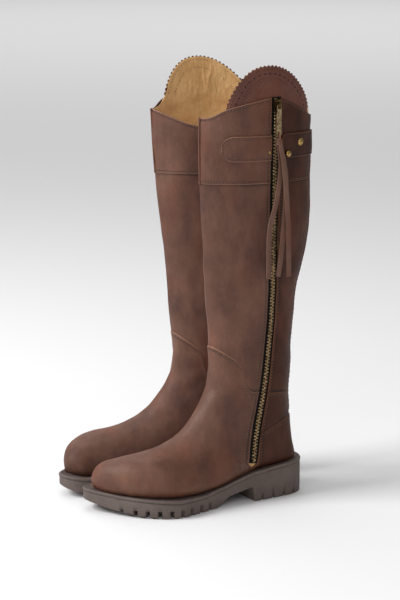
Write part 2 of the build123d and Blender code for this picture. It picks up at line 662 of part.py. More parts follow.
def tooth_row(start, side):
    """One row of teeth, each a separate small block on its tape."""
    block = Box(TOOTH_LENGTH, TOOTH_WIDTH, TOOTH_HEIGHT, align=(Align.CENTER, Align.CENTER, Align.MIN))
    step = Location((0.0, side * TOOTH_SIDE_STEP, 0.0))
    return Compound([(plane.location * step * block).solid() for plane in zip_frames(start)])


keep("zip_teeth_front", tooth_row(FIRST_TOOTH, -1))
keep("zip_teeth_rear", tooth_row(FIRST_TOOTH + TOOTH_PITCH / 2, 1))

# The slider rides over the teeth with a small clearance all round.
slider_plane = Plane(origin=straight_top + run_down * SLIDER_START, x_dir=run_down, z_dir=run_out)
with BuildPart() as slider:
    with BuildSketch(slider_plane.offset(SLIDER_FOOT)):
        with Locations((SLIDER_LENGTH / 2, 0.0)):
            RectangleRounded(SLIDER_LENGTH, SLIDER_WIDTH, SLIDER_CORNER)
    extrude(amount=SLIDER_HEIGHT - SLIDER_FOOT)
    with BuildSketch(slider_plane):
        with Locations((SLIDER_LENGTH / 2, 0.0)):
            Rectangle(SLIDER_LENGTH + 2.0, 2 * TOOTH_SIDE_STEP + TOOTH_WIDTH + 0.8)
    extrude(amount=TOOTH_HEIGHT + 0.5, mode=Mode.SUBTRACT)
    with BuildSketch(slider_plane.offset(SLIDER_HEIGHT)):
        with Locations((BRIDGE_MIDDLE - BRIDGE_REACH, 0.0), (BRIDGE_MIDDLE + BRIDGE_REACH, 0.0)):
            Rectangle(BRIDGE_POST, BRIDGE_WIDTH)
    extrude(amount=BRIDGE_HEIGHT)
    with BuildSketch(slider_plane.offset(SLIDER_HEIGHT + BRIDGE_HEIGHT)):
        with Locations((BRIDGE_MIDDLE, 0.0)):
            Rectangle(2 * BRIDGE_REACH + BRIDGE_POST, BRIDGE_WIDTH)
    extrude(amount=BRIDGE_THICKNESS)
keep("zip_slider", slider.part)

# The puller hangs straight down from the slider's bridge, and the tassel from the puller.
hinge_point = slider_plane.origin + run_down * BRIDGE_MIDDLE + run_out * (SLIDER_HEIGHT + HINGE_RISE)
hang_out = Vector(run_out.X, run_out.Y, 0.0).normalized()
puller_plane = Plane(origin=hinge_point, x_dir=(0, 0, -1), z_dir=hang_out)
with BuildPart() as puller:
    with BuildSketch(Plane(origin=hinge_point - run_across * PULLER_WIDTH / 2, z_dir=run_across)):
        Circle(PULLER_BAR_RADIUS)
    extrude(amount=PULLER_WIDTH)
    with BuildSketch(puller_plane.offset(-PULLER_THICKNESS / 2)):
        with Locations((PULLER_LENGTH / 2, 0.0)):
            Rectangle(PULLER_LENGTH, PULLER_WIDTH)
        with Locations((PULLER_BAR_RADIUS / 2 + PULLER_WINDOW / 2, 0.0)):
            Rectangle(PULLER_BAR_RADIUS + PULLER_WINDOW, PULLER_WINDOW, mode=Mode.SUBTRACT)
        with Locations((PULLER_HOLE, 0.0)):
            Circle(PULLER_HOLE_RADIUS, mode=Mode.SUBTRACT)
    extrude(amount=PULLER_THICKNESS)
    fillet(puller.edges().filter_by(Axis.X, tolerance=6).group_by(Axis.Z)[0], radius=PULLER_CORNER)
keep("zip_puller", puller.part)

hole_point = hinge_point + Vector(0, 0, -PULLER_HOLE)
tassel_plane = Plane(origin=hole_point, x_dir=(0, 0, -1), z_dir=hang_out)
cheek_inside = PULLER_THICKNESS / 2 + LOOP_GAP
with BuildPart() as tassel:
    with BuildSketch(tassel_plane.offset(-cheek_inside)):
        Circle(LOOP_PIN_RADIUS)
    extrude(amount=2 * cheek_inside)
    for low in (cheek_inside, -cheek_inside - CHEEK_THICKNESS):
        with BuildSketch(tassel_plane.offset(low)):
            with Locations((CHEEK_MIDDLE, 0.0)):
                RectangleRounded(CHEEK_LENGTH, CHEEK_WIDTH, KNOT_CORNER)
        extrude(amount=CHEEK_THICKNESS)
    with BuildSketch(tassel_plane.offset(-KNOT_DEPTH / 2)):
        with Locations((KNOT_MIDDLE, 0.0)):
            RectangleRounded(KNOT_LENGTH, KNOT_WIDTH, KNOT_CORNER)
    extrude(amount=KNOT_DEPTH)
    for number, thong in enumerate(THONGS):
        low = (number - 1) * THONG_SPACING - THONG_THICKNESS / 2
        with BuildSketch(tassel_plane.offset(low)):
            with BuildLine():
                Spline(*[(down, -forward) for down, forward in thong])
            trace(line_width=THONG_WIDTH)
        extrude(amount=THONG_THICKNESS)
keep("tassel", tassel.part)

# ---- placing and writing -------------------------------------------------------------
os.makedirs("parts", exist_ok=True)
boots = (
    ("left", False, Location((HEEL_HALF_SPACING, LEFT_HEEL_Y, 0.0), (0, 0, SPLAY))),
    ("right", True, Location((-HEEL_HALF_SPACING, RIGHT_HEEL_Y, 0.0), (0, 0, -SPLAY))),
)
for side, mirrored, place in boots:
    for name, shape in pieces.items():
        if mirrored:
            shape = mirror(shape, about=Plane.YZ)
        placed = place * shape
        placed.label = f"{side}_{name}"
        export_step(placed, f"parts/{side}_{name}.step")
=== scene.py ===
import json
import math

import bmesh
import bpy
import numpy as np
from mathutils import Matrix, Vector

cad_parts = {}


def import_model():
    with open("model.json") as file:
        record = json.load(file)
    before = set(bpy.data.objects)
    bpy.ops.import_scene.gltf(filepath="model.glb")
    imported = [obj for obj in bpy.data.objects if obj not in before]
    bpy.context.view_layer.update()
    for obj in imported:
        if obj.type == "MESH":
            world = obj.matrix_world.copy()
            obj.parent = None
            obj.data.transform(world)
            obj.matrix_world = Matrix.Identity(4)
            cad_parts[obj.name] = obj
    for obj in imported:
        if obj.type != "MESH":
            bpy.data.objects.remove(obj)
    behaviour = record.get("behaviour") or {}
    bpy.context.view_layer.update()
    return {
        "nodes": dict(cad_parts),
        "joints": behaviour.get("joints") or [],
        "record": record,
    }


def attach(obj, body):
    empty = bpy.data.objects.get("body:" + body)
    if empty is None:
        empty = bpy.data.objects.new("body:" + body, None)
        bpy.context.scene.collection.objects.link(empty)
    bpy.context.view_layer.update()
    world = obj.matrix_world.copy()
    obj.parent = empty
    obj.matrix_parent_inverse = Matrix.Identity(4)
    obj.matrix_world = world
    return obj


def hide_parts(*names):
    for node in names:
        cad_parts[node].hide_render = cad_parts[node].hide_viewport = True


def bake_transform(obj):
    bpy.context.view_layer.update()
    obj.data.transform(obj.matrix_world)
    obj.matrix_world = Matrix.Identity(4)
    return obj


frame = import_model()

# Each boot is drawn in its own frame, in millimetres: v outward, u forward from the heel's
# back edge, z up. The right boot is the mirror image of the left. Every surface point of the
# upper has two coordinates: t runs down the stations below, and s runs round the boot from
# the front crease (0) over the outer side to the back (1), or over the inner side to (-1).
MM = 0.001
SPLAY = math.radians(5.5)
HEEL_TO_MOUNT = 29.0
SIDES = ("left", "right")
MIRROR = {"left": 1.0, "right": -1.0}

# Front u, z and back u, z of each station, centre v, outer and inner half width, how pointed
# front and back are, how square the front and back halves are, where the widest point lies.
STATIONS = np.array((
    (136.0, 505.0, -7.0, 505.0, 17.5, 34.2, 34.0, 1.45, 1.00, 1.00, 1.00, 0.00),
    (134.6, 434.0, -6.6, 434.0, 13.0, 34.0, 34.0, 1.45, 1.00, 1.00, 1.00, 0.00),
    (131.4, 363.0, -7.0, 363.0, 9.0, 33.4, 34.0, 1.40, 1.00, 1.00, 1.00, 0.00),
    (123.5, 289.0, -6.1, 289.0, 5.0, 32.7, 33.0, 1.30, 1.00, 1.00, 1.00, 0.00),
    (119.0, 232.0, 4.4, 232.0, 2.0, 32.0, 32.0, 1.20, 1.00, 1.00, 1.00, 0.00),
    (114.3, 179.0, 10.7, 176.0, 0.0, 32.0, 32.0, 1.10, 1.00, 1.00, 1.00, 0.00),
    (114.5, 146.0, 12.6, 132.0, 0.0, 32.0, 32.0, 1.05, 0.95, 1.00, 1.00, 0.00),
    (121.0, 119.0, 12.8, 90.0, 0.0, 32.0, 31.0, 1.00, 0.90, 1.00, 0.95, -0.05),
    (133.0, 99.0, 8.0, 60.0, 0.0, 32.0, 31.0, 1.00, 0.80, 1.00, 0.85, -0.10),
    (148.0, 84.0, 12.0, 35.5, 0.0, 33.0, 31.0, 1.00, 0.60, 1.00, 0.75, -0.20),
    (165.0, 73.5, 60.0, 31.5, 1.0, 34.0, 31.0, 1.00, 0.50, 1.00, 0.70, -0.35),
    (184.0, 67.0, 120.0, 18.0, 2.0, 38.0, 34.0, 1.00, 0.45, 1.00, 0.70, -0.45),
    (206.0, 63.0, 175.0, 15.5, 2.0, 44.0, 41.0, 1.00, 0.45, 1.00, 0.70, -0.42),
    (226.0, 59.0, 210.0, 17.5, -4.5, 37.0, 35.5, 0.90, 0.45, 1.00, 0.70, -0.38),
    (241.0, 52.0, 232.0, 19.5, -14.5, 26.0, 23.5, 0.80, 0.50, 0.95, 0.75, -0.25),
    (248.5, 42.5, 243.5, 22.0, -19.5, 14.5, 13.0, 0.75, 0.60, 0.90, 0.90, -0.10),
    (250.6, 36.0, 249.2, 27.0, -21.5, 5.5, 5.0, 0.75, 0.70, 0.90, 0.95, 0.00),
    (251.0, 32.5, 250.8, 31.0, -21.8, 1.0, 1.0, 0.90, 0.80, 0.95, 0.95, 0.00),
))
LAST_ROW = len(STATIONS) - 1.0
TOE_ROW = 11.0  # from here on an inner layer also draws back from the toe's tip

OUTER_TOP_FRONT = (
    (134.6, 433.5), (127.0, 434.5), (113.6, 442.6), (100.0, 446.8), (83.7, 450.7), (62.8, 454.8),
)
OUTER_TOP_REAR = ((51.5, 454.2), (44.0, 451.6), (30.5, 446.0), (6.3, 434.0), (-6.6, 431.5))
INNER_TOP = (
    (134.6, 433.0), (115.0, 424.0), (95.0, 416.5), (70.0, 413.5), (45.0, 416.0), (20.0, 424.0),
    (-6.6, 431.5),
)
PLATE_RIM = (
    (114.5, 441.0), (113.2, 450.0), (108.4, 462.0), (100.7, 474.5), (90.4, 483.6), (79.2, 488.6),
    (65.8, 490.0), (54.0, 488.6), (41.5, 484.0), (27.5, 475.0), (12.0, 459.5), (3.0, 445.0),
    (0.0, 434.0),
)
SCALLOPS = 33
SCALLOP_DEPTH = 2.2
BAND_SEAM = 360.3
VAMP_SEAM = ((113.7, 176.5), (101.0, 167.0), (90.6, 158.0), (84.6, 142.0), (80.9, 128.6), (72.0, 124.2))
QUARTER_SEAM = ((50.5, 121.9), (17.5, 117.7), (12.6, 117.0))
COUNTER_SEAM = ((66.0, 77.0), (59.4, 77.7), (39.6, 84.4), (19.3, 88.9), (12.0, 90.0))
ZIP_LINE = (
    (57.2, 455.0), (51.6, 240.0), (52.2, 205.0), (54.4, 181.0), (57.0, 156.0), (60.2, 131.0),
    (64.2, 110.0), (68.3, 90.0), (72.2, 67.0), (75.0, 46.0), (76.2, 38.0), (77.0, 28.0),
)
SLOT_HALF = 6.1
TOOTH_PITCH = 3.6
STRAIGHT_END = 240.0
STRAP_LOW = 385.5
STRAP_HIGH = 413.5
TAB_HINGE = 27.5
BUTTON = (40.8, 392.5)
DOME = (20.9, 403.9)
SMALL_STUD = (64.5, 395.0)

SOLE_EDGE = (
    (0.0, 0.0), (4.0, 18.0), (12.0, 27.5), (26.0, 34.5), (50.0, 37.0), (76.0, 38.6), (102.0, 39.0),
    (129.0, 42.0), (155.0, 49.5), (179.0, 54.6), (193.0, 52.0), (205.0, 45.3), (222.0, 30.5),
    (235.0, 13.9), (246.0, -4.0), (254.0, -16.0), (257.8, -25.0), (256.5, -33.0), (251.0, -40.0),
    (241.0, -45.5), (226.0, -48.5), (205.0, -49.0), (180.0, -47.0), (155.0, -42.5), (129.0, -37.0),
    (102.0, -34.0), (76.0, -33.5), (50.0, -34.5), (26.0, -32.5), (12.0, -26.5), (4.0, -17.5),
)
SOLE_TOP = (
    (-8.0, 40.0), (17.0, 39.5), (50.0, 37.0), (77.0, 34.0), (93.0, 30.0), (114.0, 24.0),
    (142.0, 19.0), (179.0, 19.5), (211.0, 21.5), (234.0, 22.8), (248.0, 24.3), (270.0, 27.5),
)
SOLE_BOTTOM = (
    (-8.0, 0.0), (75.4, 0.0), (76.6, 3.0), (79.5, 16.8), (110.0, 10.5), (128.0, 0.0), (185.0, 0.0),
    (205.0, 1.0), (221.0, 2.5), (234.0, 4.5), (245.6, 7.3), (255.0, 11.0), (270.0, 18.0),
)
TOE_LUGS = (234.0, 224.0, 214.0, 203.0, 191.0, 178.0, 165.0, 151.0, 138.0)
HEEL_LUGS = (65.7, 50.7, 36.0, 21.0)


# ---- curves and the upper's surface ---------------------------------------------------
def mix(a, b, c, d, f):
    """Smooth curve through b and c, with a and d as the neighbours."""
    return 0.5 * (
        2 * b + (c - a) * f + (2 * a - 5 * b + 4 * c - d) * f**2 + (3 * b - a - 3 * c + d) * f**3
    )


def ease(x):
    """0 below 0, 1 above 1, smooth in between."""
    x = np.clip(x, 0.0, 1.0)
    return x * x * (3 - 2 * x)


def curve_through(points, count, closed=False):
    """A smooth line through the points, evenly spaced, as count points."""
    points = np.asarray(points, float)
    n = len(points)
    spans = n if closed else n - 1
    x = np.linspace(0.0, spans, spans * 24, endpoint=not closed)
    i = np.minimum(np.floor(x).astype(int), spans - 1)
    f = (x - i)[:, None]
    if closed:
        line = mix(points[(i - 1) % n], points[i], points[(i + 1) % n], points[(i + 2) % n], f)
        line = np.vstack([line, line[:1]])
    else:
        before, after = np.maximum(i - 1, 0), np.minimum(i + 2, n - 1)
        line = mix(points[before], points[i], points[i + 1], points[after], f)
    return spread(line, count)


def lengths(line):
    steps = np.linalg.norm(np.diff(line, axis=0), axis=1)
    return np.concatenate([[0.0], np.cumsum(steps)])


def spread(line, count, measured=None):
    """The same line with evenly spaced points; measured gives the places that set the spacing."""
    travelled = lengths(line if measured is None else measured)
    wanted = np.linspace(0.0, travelled[-1], count)
    return np.stack([np.interp(wanted, travelled, column) for column in line.T], -1)


def stations_at(t):
    t = np.clip(t, 0.0, LAST_ROW - 1e-6)
    i = np.floor(t).astype(int)
    rows = [STATIONS[np.clip(i + k, 0, int(LAST_ROW))] for k in (-1, 0, 1, 2)]
    return mix(*rows, (t - i)[..., None])


def section(rows, phi, outer, depth, draw):
    """Points (v, u, z) at angle phi of the given station rows."""
    front_u, front_z, back_u, back_z, centre, wide_out, wide_in = np.moveaxis(rows, -1, 0)[:7]
    qf, qb, pf, pb, widest = np.moveaxis(rows, -1, 0)[7:]
    run = np.hypot(front_u - back_u, front_z - back_z)
    sunk = np.minimum(depth, 0.45 * run)
    step_u = (back_u - front_u) / run * sunk
    step_z = (back_z - front_z) / run * sunk
    cosine = np.cos(phi)
    sine = np.abs(np.sin(phi))
    power = qf + (qb - qf) * (1 - cosine) / 2
    ahead = widest + (1 - widest) * np.abs(cosine) ** pf
    behind = widest - (1 + widest) * np.abs(cosine) ** pb
    share = (1 + np.where(cosine >= 0, ahead, behind)) / 2
    half = np.maximum(np.where(outer > 0, wide_out, wide_in) - depth, 0.2)
    v = centre + outer * sine**power * half
    u = back_u - step_u + (front_u - back_u + 2 * step_u) * share - draw
    z = back_z - step_z + (front_z - back_z + 2 * step_z) * share
    return np.stack([v, u, z], -1)


TABLE_T = np.linspace(0.0, LAST_ROW, 129)
TABLE_S = np.linspace(0.0, 1.0, 201)


def angle_table(outer):
    """For each table row, the angle at which each share of the way round is reached."""
    near = np.linspace(0.0, 1.0, 160)
    parts = [np.linspace(0, math.pi, 500), 0.4 * near**3, math.pi - 0.4 * near**3]
    parts += [math.pi / 2 + 0.3 * near**3, math.pi / 2 - 0.3 * near**3]
    phi = np.unique(np.concatenate(parts))
    rows = []
    for t in TABLE_T:
        station = np.broadcast_to(stations_at(np.array([t])), (len(phi), 12))
        travelled = lengths(section(station, phi, np.full(len(phi), outer), 0.0, 0.0))
        rows.append(np.interp(TABLE_S, travelled / travelled[-1], phi))
    return np.array(rows)


ANGLES = {1.0: angle_table(1.0), -1.0: angle_table(-1.0)}


def angle_at(t, s, outer):
    x = np.clip(t / LAST_ROW, 0, 1) * (len(TABLE_T) - 1)
    y = np.clip(s, 0, 1) * (len(TABLE_S) - 1)
    i = np.minimum(x.astype(int), len(TABLE_T) - 2)
    j = np.minimum(y.astype(int), len(TABLE_S) - 2)
    fx = x - i
    fy = y - j
    table = ANGLES[outer]
    low = table[i, j] * (1 - fy) + table[i, j + 1] * fy
    high = table[i + 1, j] * (1 - fy) + table[i + 1, j + 1] * fy
    return low * (1 - fx) + high * fx


def surface(ts, depth=0.0):
    """Points (v, u, z) of the upper at coordinates ts (..., 2), depth below its outside."""
    ts = np.asarray(ts, float)
    t = ts[..., 0]
    s = (ts[..., 1] + 1) % 2 - 1
    outer = np.where(s >= 0, 1.0, -1.0)
    phi = np.where(s >= 0, angle_at(t, np.abs(s), 1.0), angle_at(t, np.abs(s), -1.0))
    depth = np.broadcast_to(depth, t.shape)
    draw = depth * np.clip((t - TOE_ROW) / 4, 0, 1.25)
    return section(stations_at(t), phi, outer, depth, draw)


NET_T = np.linspace(0.0, LAST_ROW - 0.05, 200)
NET_S = np.linspace(0.0, 1.0, 121)
NET = {
    side: surface(np.stack(np.meshgrid(NET_T, side * NET_S, indexing="ij"), -1))[..., 1:].reshape(-1, 2)
    for side in (1.0, -1.0)
}


def locate(places, side=1.0):
    """The coordinates (t, s) of side-view places (u, z) on the outer or inner half."""
    places = np.asarray(places, float)
    shape = places.shape
    places = places.reshape(-1, 2)
    net = NET[side]
    start = [int(np.argmin(((net - place) ** 2).sum(1))) for place in places]
    t = NET_T[np.array(start) // len(NET_S)]
    s = NET_S[np.array(start) % len(NET_S)]
    h = 1e-4
    for _ in range(10):
        back = np.where(s > 0.5, -h, h)
        here = surface(np.stack([t, side * s], -1))[:, 1:]
        dt = (surface(np.stack([t + h, side * s], -1))[:, 1:] - here) / h
        ds = (surface(np.stack([t, side * (s + back)], -1))[:, 1:] - here) / back[:, None]
        miss = places - here
        a = (dt * dt).sum(1) + 0.5
        b = (dt * ds).sum(1)
        c = (ds * ds).sum(1) + 0.5
        e = (dt * miss).sum(1)
        f = (ds * miss).sum(1)
        det = a * c - b * b
        t = np.clip(t + (e * c - f * b) / det, 0.0, LAST_ROW - 0.05)
        s = np.clip(s + (a * f - b * e) / det, 0.0, 1.0)
    return np.stack([t, side * s], -1).reshape(shape)


ROW_SAMPLES = np.linspace(0.0, LAST_ROW - 0.01, 1200)
ROW_VALUES = stations_at(ROW_SAMPLES)


def crease_row(z):
    return float(np.interp(-z, -ROW_VALUES[:, 1], ROW_SAMPLES))


def back_row(z):
    upto = ROW_SAMPLES < 9.0
    return float(np.interp(-z, -ROW_VALUES[upto, 3], ROW_SAMPLES[upto]))


def zip_u(z):
    heights = [-p[1] for p in ZIP_LINE]
    return np.interp(-np.asarray(z, float), heights, [p[0] for p in ZIP_LINE])


def slot_half(z):
    """Half width of the zip's opening at a height: it closes just above the sole."""
    return 0.5 + (SLOT_HALF - 0.5) * ease((np.asarray(z, float) - 38.5) / 3.5)


def slot_edge(high, low, ahead, count=90):
    """The panel edge beside the zip, from height high to low, as coordinates."""
    z = np.linspace(high, low, count)
    lean = np.gradient(zip_u(z), z)
    offset = slot_half(z) * ahead / np.sqrt(1 + lean**2)
    return spread_on(locate(np.stack([zip_u(z) + offset, z - offset * lean], -1)))


def spread_on(ts, count=160):
    return spread(ts, count, surface(ts))


def edge(points, side=1.0, start=None, end=None, shift=(0.0, 0.0)):
    """A panel edge through side-view points; start and end pin it to the crease or the back."""
    places = curve_through(points, 90) + np.array(shift)
    ts = locate(places, side)
    for index, pin in ((0, start), (-1, end)):
        if pin == "crease":
            ts[index] = (crease_row(places[index, 1]), 0.0)
        if pin == "back":
            ts[index] = (back_row(places[index, 1]), side)
    return spread_on(ts)


def meet(line, corner, at_end=False):
    """The line brought to a corner beside the zip: points past the corner are dropped."""
    u = surface(line)[:, 1]
    corner_u = surface(corner)[1]
    kept = line[(u - corner_u) * np.sign(u.mean() - corner_u) > 1.5]
    joined = np.vstack([kept, corner[None]]) if at_end else np.vstack([corner[None], kept])
    return spread_on(joined)


def upright(s, high_t, low_t):
    """A panel edge down the crease (s 0) or the back (s 1 or -1)."""
    t = np.linspace(high_t, low_t, 160)
    return spread_on(np.stack([t, np.full(160, s)], -1))


def around(outer_edge, inner_edge):
    """One edge that runs over the outer half, through the back and along the inner half."""
    inner = inner_edge[::-1].copy()
    inner[:, 1] += 2.0
    return spread_on(np.vstack([outer_edge, inner[1:]]))


def coons(top, bottom, left, right, across, down):
    """Net of coordinates between four edges; across and down are shares of the way."""

    def at(line, share):
        x = share * (len(line) - 1)
        i = np.minimum(x.astype(int), len(line) - 2)
        return line[i] + (line[i + 1] - line[i]) * (x - i)[:, None]

    a = across[None, :, None]
    b = down[:, None, None]
    rows = (1 - b) * at(top, across)[None] + b * at(bottom, across)[None]
    columns = (1 - a) * at(left, down)[:, None] + a * at(right, down)[:, None]
    corners = (1 - a) * ((1 - b) * top[0] + b * bottom[0]) + a * ((1 - b) * top[-1] + b * bottom[-1])
    return rows + columns - corners


# ---- the leather's own unevenness -------------------------------------------------------
FOLDS = (  # side-view place, tilt in degrees, half length, half width, depth
    (104.0, 132.0, -22.0, 26.0, 5.0, 0.9), (97.0, 112.0, -36.0, 28.0, 6.0, 0.8),
    (110.0, 152.0, -12.0, 20.0, 5.0, 0.7), (36.0, 118.0, 20.0, 22.0, 5.0, 0.6),
    (30.0, 148.0, 12.0, 24.0, 6.0, 0.6), (120.0, 96.0, -42.0, 30.0, 8.0, 0.6),
    (92.0, 214.0, 80.0, 46.0, 9.0, 0.8), (104.0, 300.0, 96.0, 60.0, 11.0, 0.7),
    (26.0, 230.0, 84.0, 60.0, 9.0, 0.7), (88.0, 188.0, 30.0, 26.0, 8.0, 0.6),
)


def waves(seed):
    rng = np.random.default_rng(seed)
    found = []
    for size, height, count in ((105.0, 0.42, 6), (48.0, 0.16, 8), (21.0, 0.05, 8)):
        for _ in range(count):
            way = rng.normal(size=3)
            way *= 2 * math.pi / size / np.linalg.norm(way)
            found.append((way, rng.uniform(0, 2 * math.pi), height))
    return found


WAVES = {"left": waves(11), "right": waves(29)}


def relief(points, side):
    """How far the leather swells outward at these points, in mm; flat beside the zip."""
    total = np.zeros(points.shape[:-1])
    for way, phase, height in WAVES[side]:
        total += height * np.sin(points @ way + phase)
    for u, z, tilt, reach, width, depth in FOLDS:
        du = points[..., 1] - u
        dz = points[..., 2] - z
        along = du * math.cos(math.radians(tilt)) + dz * math.sin(math.radians(tilt))
        across = dz * math.cos(math.radians(tilt)) - du * math.sin(math.radians(tilt))
        total -= depth * np.exp(-((across / width) ** 2) - (along / reach) ** 2)
    from_zip = np.abs(points[..., 1] - zip_u(points[..., 2]))
    calm = np.where(points[..., 0] > 10, 1 - np.exp(-((from_zip / 16) ** 2)), 1.0)
    low = ease((points[..., 2] - 34.0) / 16.0)
    return total * calm * (0.35 + 0.65 * low)


def skin(ts, depth, side):
    """Points on the uneven leather, depth below its surface."""
    return surface(ts, depth - relief(surface(ts), side))


# ---- mesh making -------------------------------------------------------------------------
def world(points, side):
    """From a boot's own (v, u, z) in mm to the shared frame in metres."""
    points = np.asarray(points, float).reshape(-1, 3)
    turn = MIRROR[side] * SPLAY
    x = points[:, 0] * MIRROR[side]
    y = -points[:, 1]
    heel = HEELS[side]
    return np.stack([
        heel[0] + (x * math.cos(turn) - y * math.sin(turn)) * MM,
        heel[1] + (x * math.sin(turn) + y * math.cos(turn)) * MM,
        points[:, 2] * MM,
    ], -1)


def heel_place(side):
    mount = next(m for m in frame["record"]["mounts"] if m["name"] == f"{side}_heel_tread")
    turn = MIRROR[side] * SPLAY
    x, y, _ = mount["pos_m"]
    return x - HEEL_TO_MOUNT * MM * math.sin(turn), y + HEEL_TO_MOUNT * MM * math.cos(turn)


HEELS = {side: heel_place(side) for side in SIDES}


def grid_faces(rows, size, columns=None):
    """Quads between rows of size points; all columns close each row into a ring."""
    return [
        (i * size + j, i * size + (j + 1) % size, (i + 1) * size + (j + 1) % size, (i + 1) * size + j)
        for i in range(rows - 1) for j in range(columns or size)
    ]


def capped_faces(rows, size):
    """Rings joined by quads, with a face over each end."""
    ends = [tuple(range(size))[::-1], tuple((rows - 1) * size + j for j in range(size))]
    return grid_faces(rows, size) + ends


class Shape:
    """Points and faces of one piece, gathered in the boot's own frame."""

    def __init__(self):
        self.points = []
        self.faces = []
        self.wear_and_shade = []
        self.count = 0

    def add(self, points, faces, wear_and_shade=0.0):
        points = np.asarray(points, float).reshape(-1, 3)
        self.points.append(points)
        self.faces.extend([tuple(i + self.count for i in face) for face in faces])
        self.wear_and_shade.append(np.broadcast_to(wear_and_shade, (len(points),)))
        self.count += len(points)

    def slab(self, outer, inner, wear_and_shade=0.0, underside_painted_shade=0.0, loop=False):
        """A closed sheet between two nets of the same size; loop joins its first and last columns."""
        n, m = outer.shape[:2]
        size = n * m
        quads = grid_faces(n, m, m if loop else m - 1)
        high = list(range(m))
        low = [(n - 1) * m + j for j in range(m)]
        if loop:
            rims = [high, low[::-1]]
        else:
            right = [i * m + m - 1 for i in range(1, n - 1)]
            left = [i * m for i in range(n - 2, 0, -1)]
            rims = [high + right + low[::-1] + left]
        walls = [(a, b, b + size, a + size) for rim in rims for a, b in zip(rim, rim[1:] + rim[:1])]
        # The inner net and the side walls take the second value, which is below zero where they are painted
        # dark as shade.
        wear_and_shade = np.broadcast_to(wear_and_shade, (n, m)).reshape(-1)
        both = np.vstack([outer.reshape(-1, 3), inner.reshape(-1, 3)])
        faces = quads + walls + [tuple(i + size for i in quad[::-1]) for quad in quads]
        self.add(both, faces, np.concatenate([wear_and_shade, np.full(size, underside_painted_shade)]))

    def tube(self, line, radius, sides=8, flatten=1.0, up=None, power=1.0):
        """A closed tube along a line; radius may vary, flatten and power make it a flat strip."""
        line = np.asarray(line, float)
        way = np.gradient(line, axis=0)
        way /= np.linalg.norm(way, axis=1)[:, None] + 1e-9
        up = np.array((0.31, 0.17, 0.93)) if up is None else np.asarray(up, float)
        across = np.cross(way, up)
        across /= np.linalg.norm(across, axis=1)[:, None] + 1e-9
        upward = np.cross(across, way)
        radius = np.broadcast_to(radius, (len(line),))[:, None, None]
        angles = np.linspace(0, 2 * math.pi, sides, endpoint=False)[None, :, None]
        wide = np.sign(np.cos(angles)) * np.abs(np.cos(angles)) ** power
        high = np.sign(np.sin(angles)) * np.abs(np.sin(angles)) ** power
        rings = line[:, None] + radius * (wide * across[:, None] + flatten * high * upward[:, None])
        self.add(rings, capped_faces(len(line), sides))

    def lathe(self, profile, origin, axis, sides=28):
        """A turned form: profile rows are (height along the axis, radius)."""
        axis = np.asarray(axis, float) / np.linalg.norm(axis)
        first = np.cross(axis, (0.2, 0.3, 0.93))
        first /= np.linalg.norm(first)
        second = np.cross(axis, first)
        angles = np.linspace(0, 2 * math.pi, sides, endpoint=False)
        circle = np.cos(angles)[:, None] * first + np.sin(angles)[:, None] * second
        rings = [np.asarray(origin) + height * axis + radius * circle for height, radius in profile]
        self.add(np.array(rings), capped_faces(len(profile), sides))

    def block(self, centre, axes, size, bevel=0.2):
        """A small box with its upper rim bevelled; axes are its three directions."""
        axes = np.asarray(axes, float)
        sx, sy, sz = np.asarray(size) / 2
        rows = [(sx, sy, -sz), (sx, sy, sz - bevel), (sx - bevel, sy - bevel, sz)]
        corners = ((-1, -1), (1, -1), (1, 1), (-1, 1))
        points = [
            np.asarray(centre) + axes.T @ np.array((x * px, y * py, z))
            for x, y, z in rows for px, py in corners
        ]
        self.add(points, capped_faces(len(rows), len(corners)))


def finish_piece(name, side, shape, material, body="boot", stands_for=(), smooth=True):
    """Turns a shape into a Blender object that rides on its body."""
    mesh = bpy.data.meshes.new(f"{side}_{name}")
    mesh.from_pydata(world(np.vstack(shape.points), side).tolist(), [], shape.faces)
    # Per-point attribute: values above zero are pale worn edges, values below zero are painted shade in
    # grooves, along seams and on the undersides and cut walls of pieces.
    wear_and_shade = mesh.attributes.new("wear_and_shade", "FLOAT", "POINT")
    wear_and_shade.data.foreach_set("value", np.concatenate(shape.wear_and_shade).astype(np.float32))
    build = bmesh.new()
    build.from_mesh(mesh)
    bmesh.ops.remove_doubles(build, verts=build.verts, dist=2e-6)
    bmesh.ops.dissolve_degenerate(build, dist=1e-6, edges=build.edges)
    bmesh.ops.recalc_face_normals(build, faces=build.faces)
    for face in build.faces:
        face.smooth = smooth
    build.to_mesh(mesh)
    build.free()
    mesh.materials.append(material)
    thing = bpy.data.objects.new(f"{side}_{name}", mesh)
    bpy.context.scene.collection.objects.link(thing)
    if body is not None:
        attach(thing, f"{side}_{body}")
    if stands_for:
        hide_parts(*[f"{side}_{node}" for node in stands_for])
    return thing


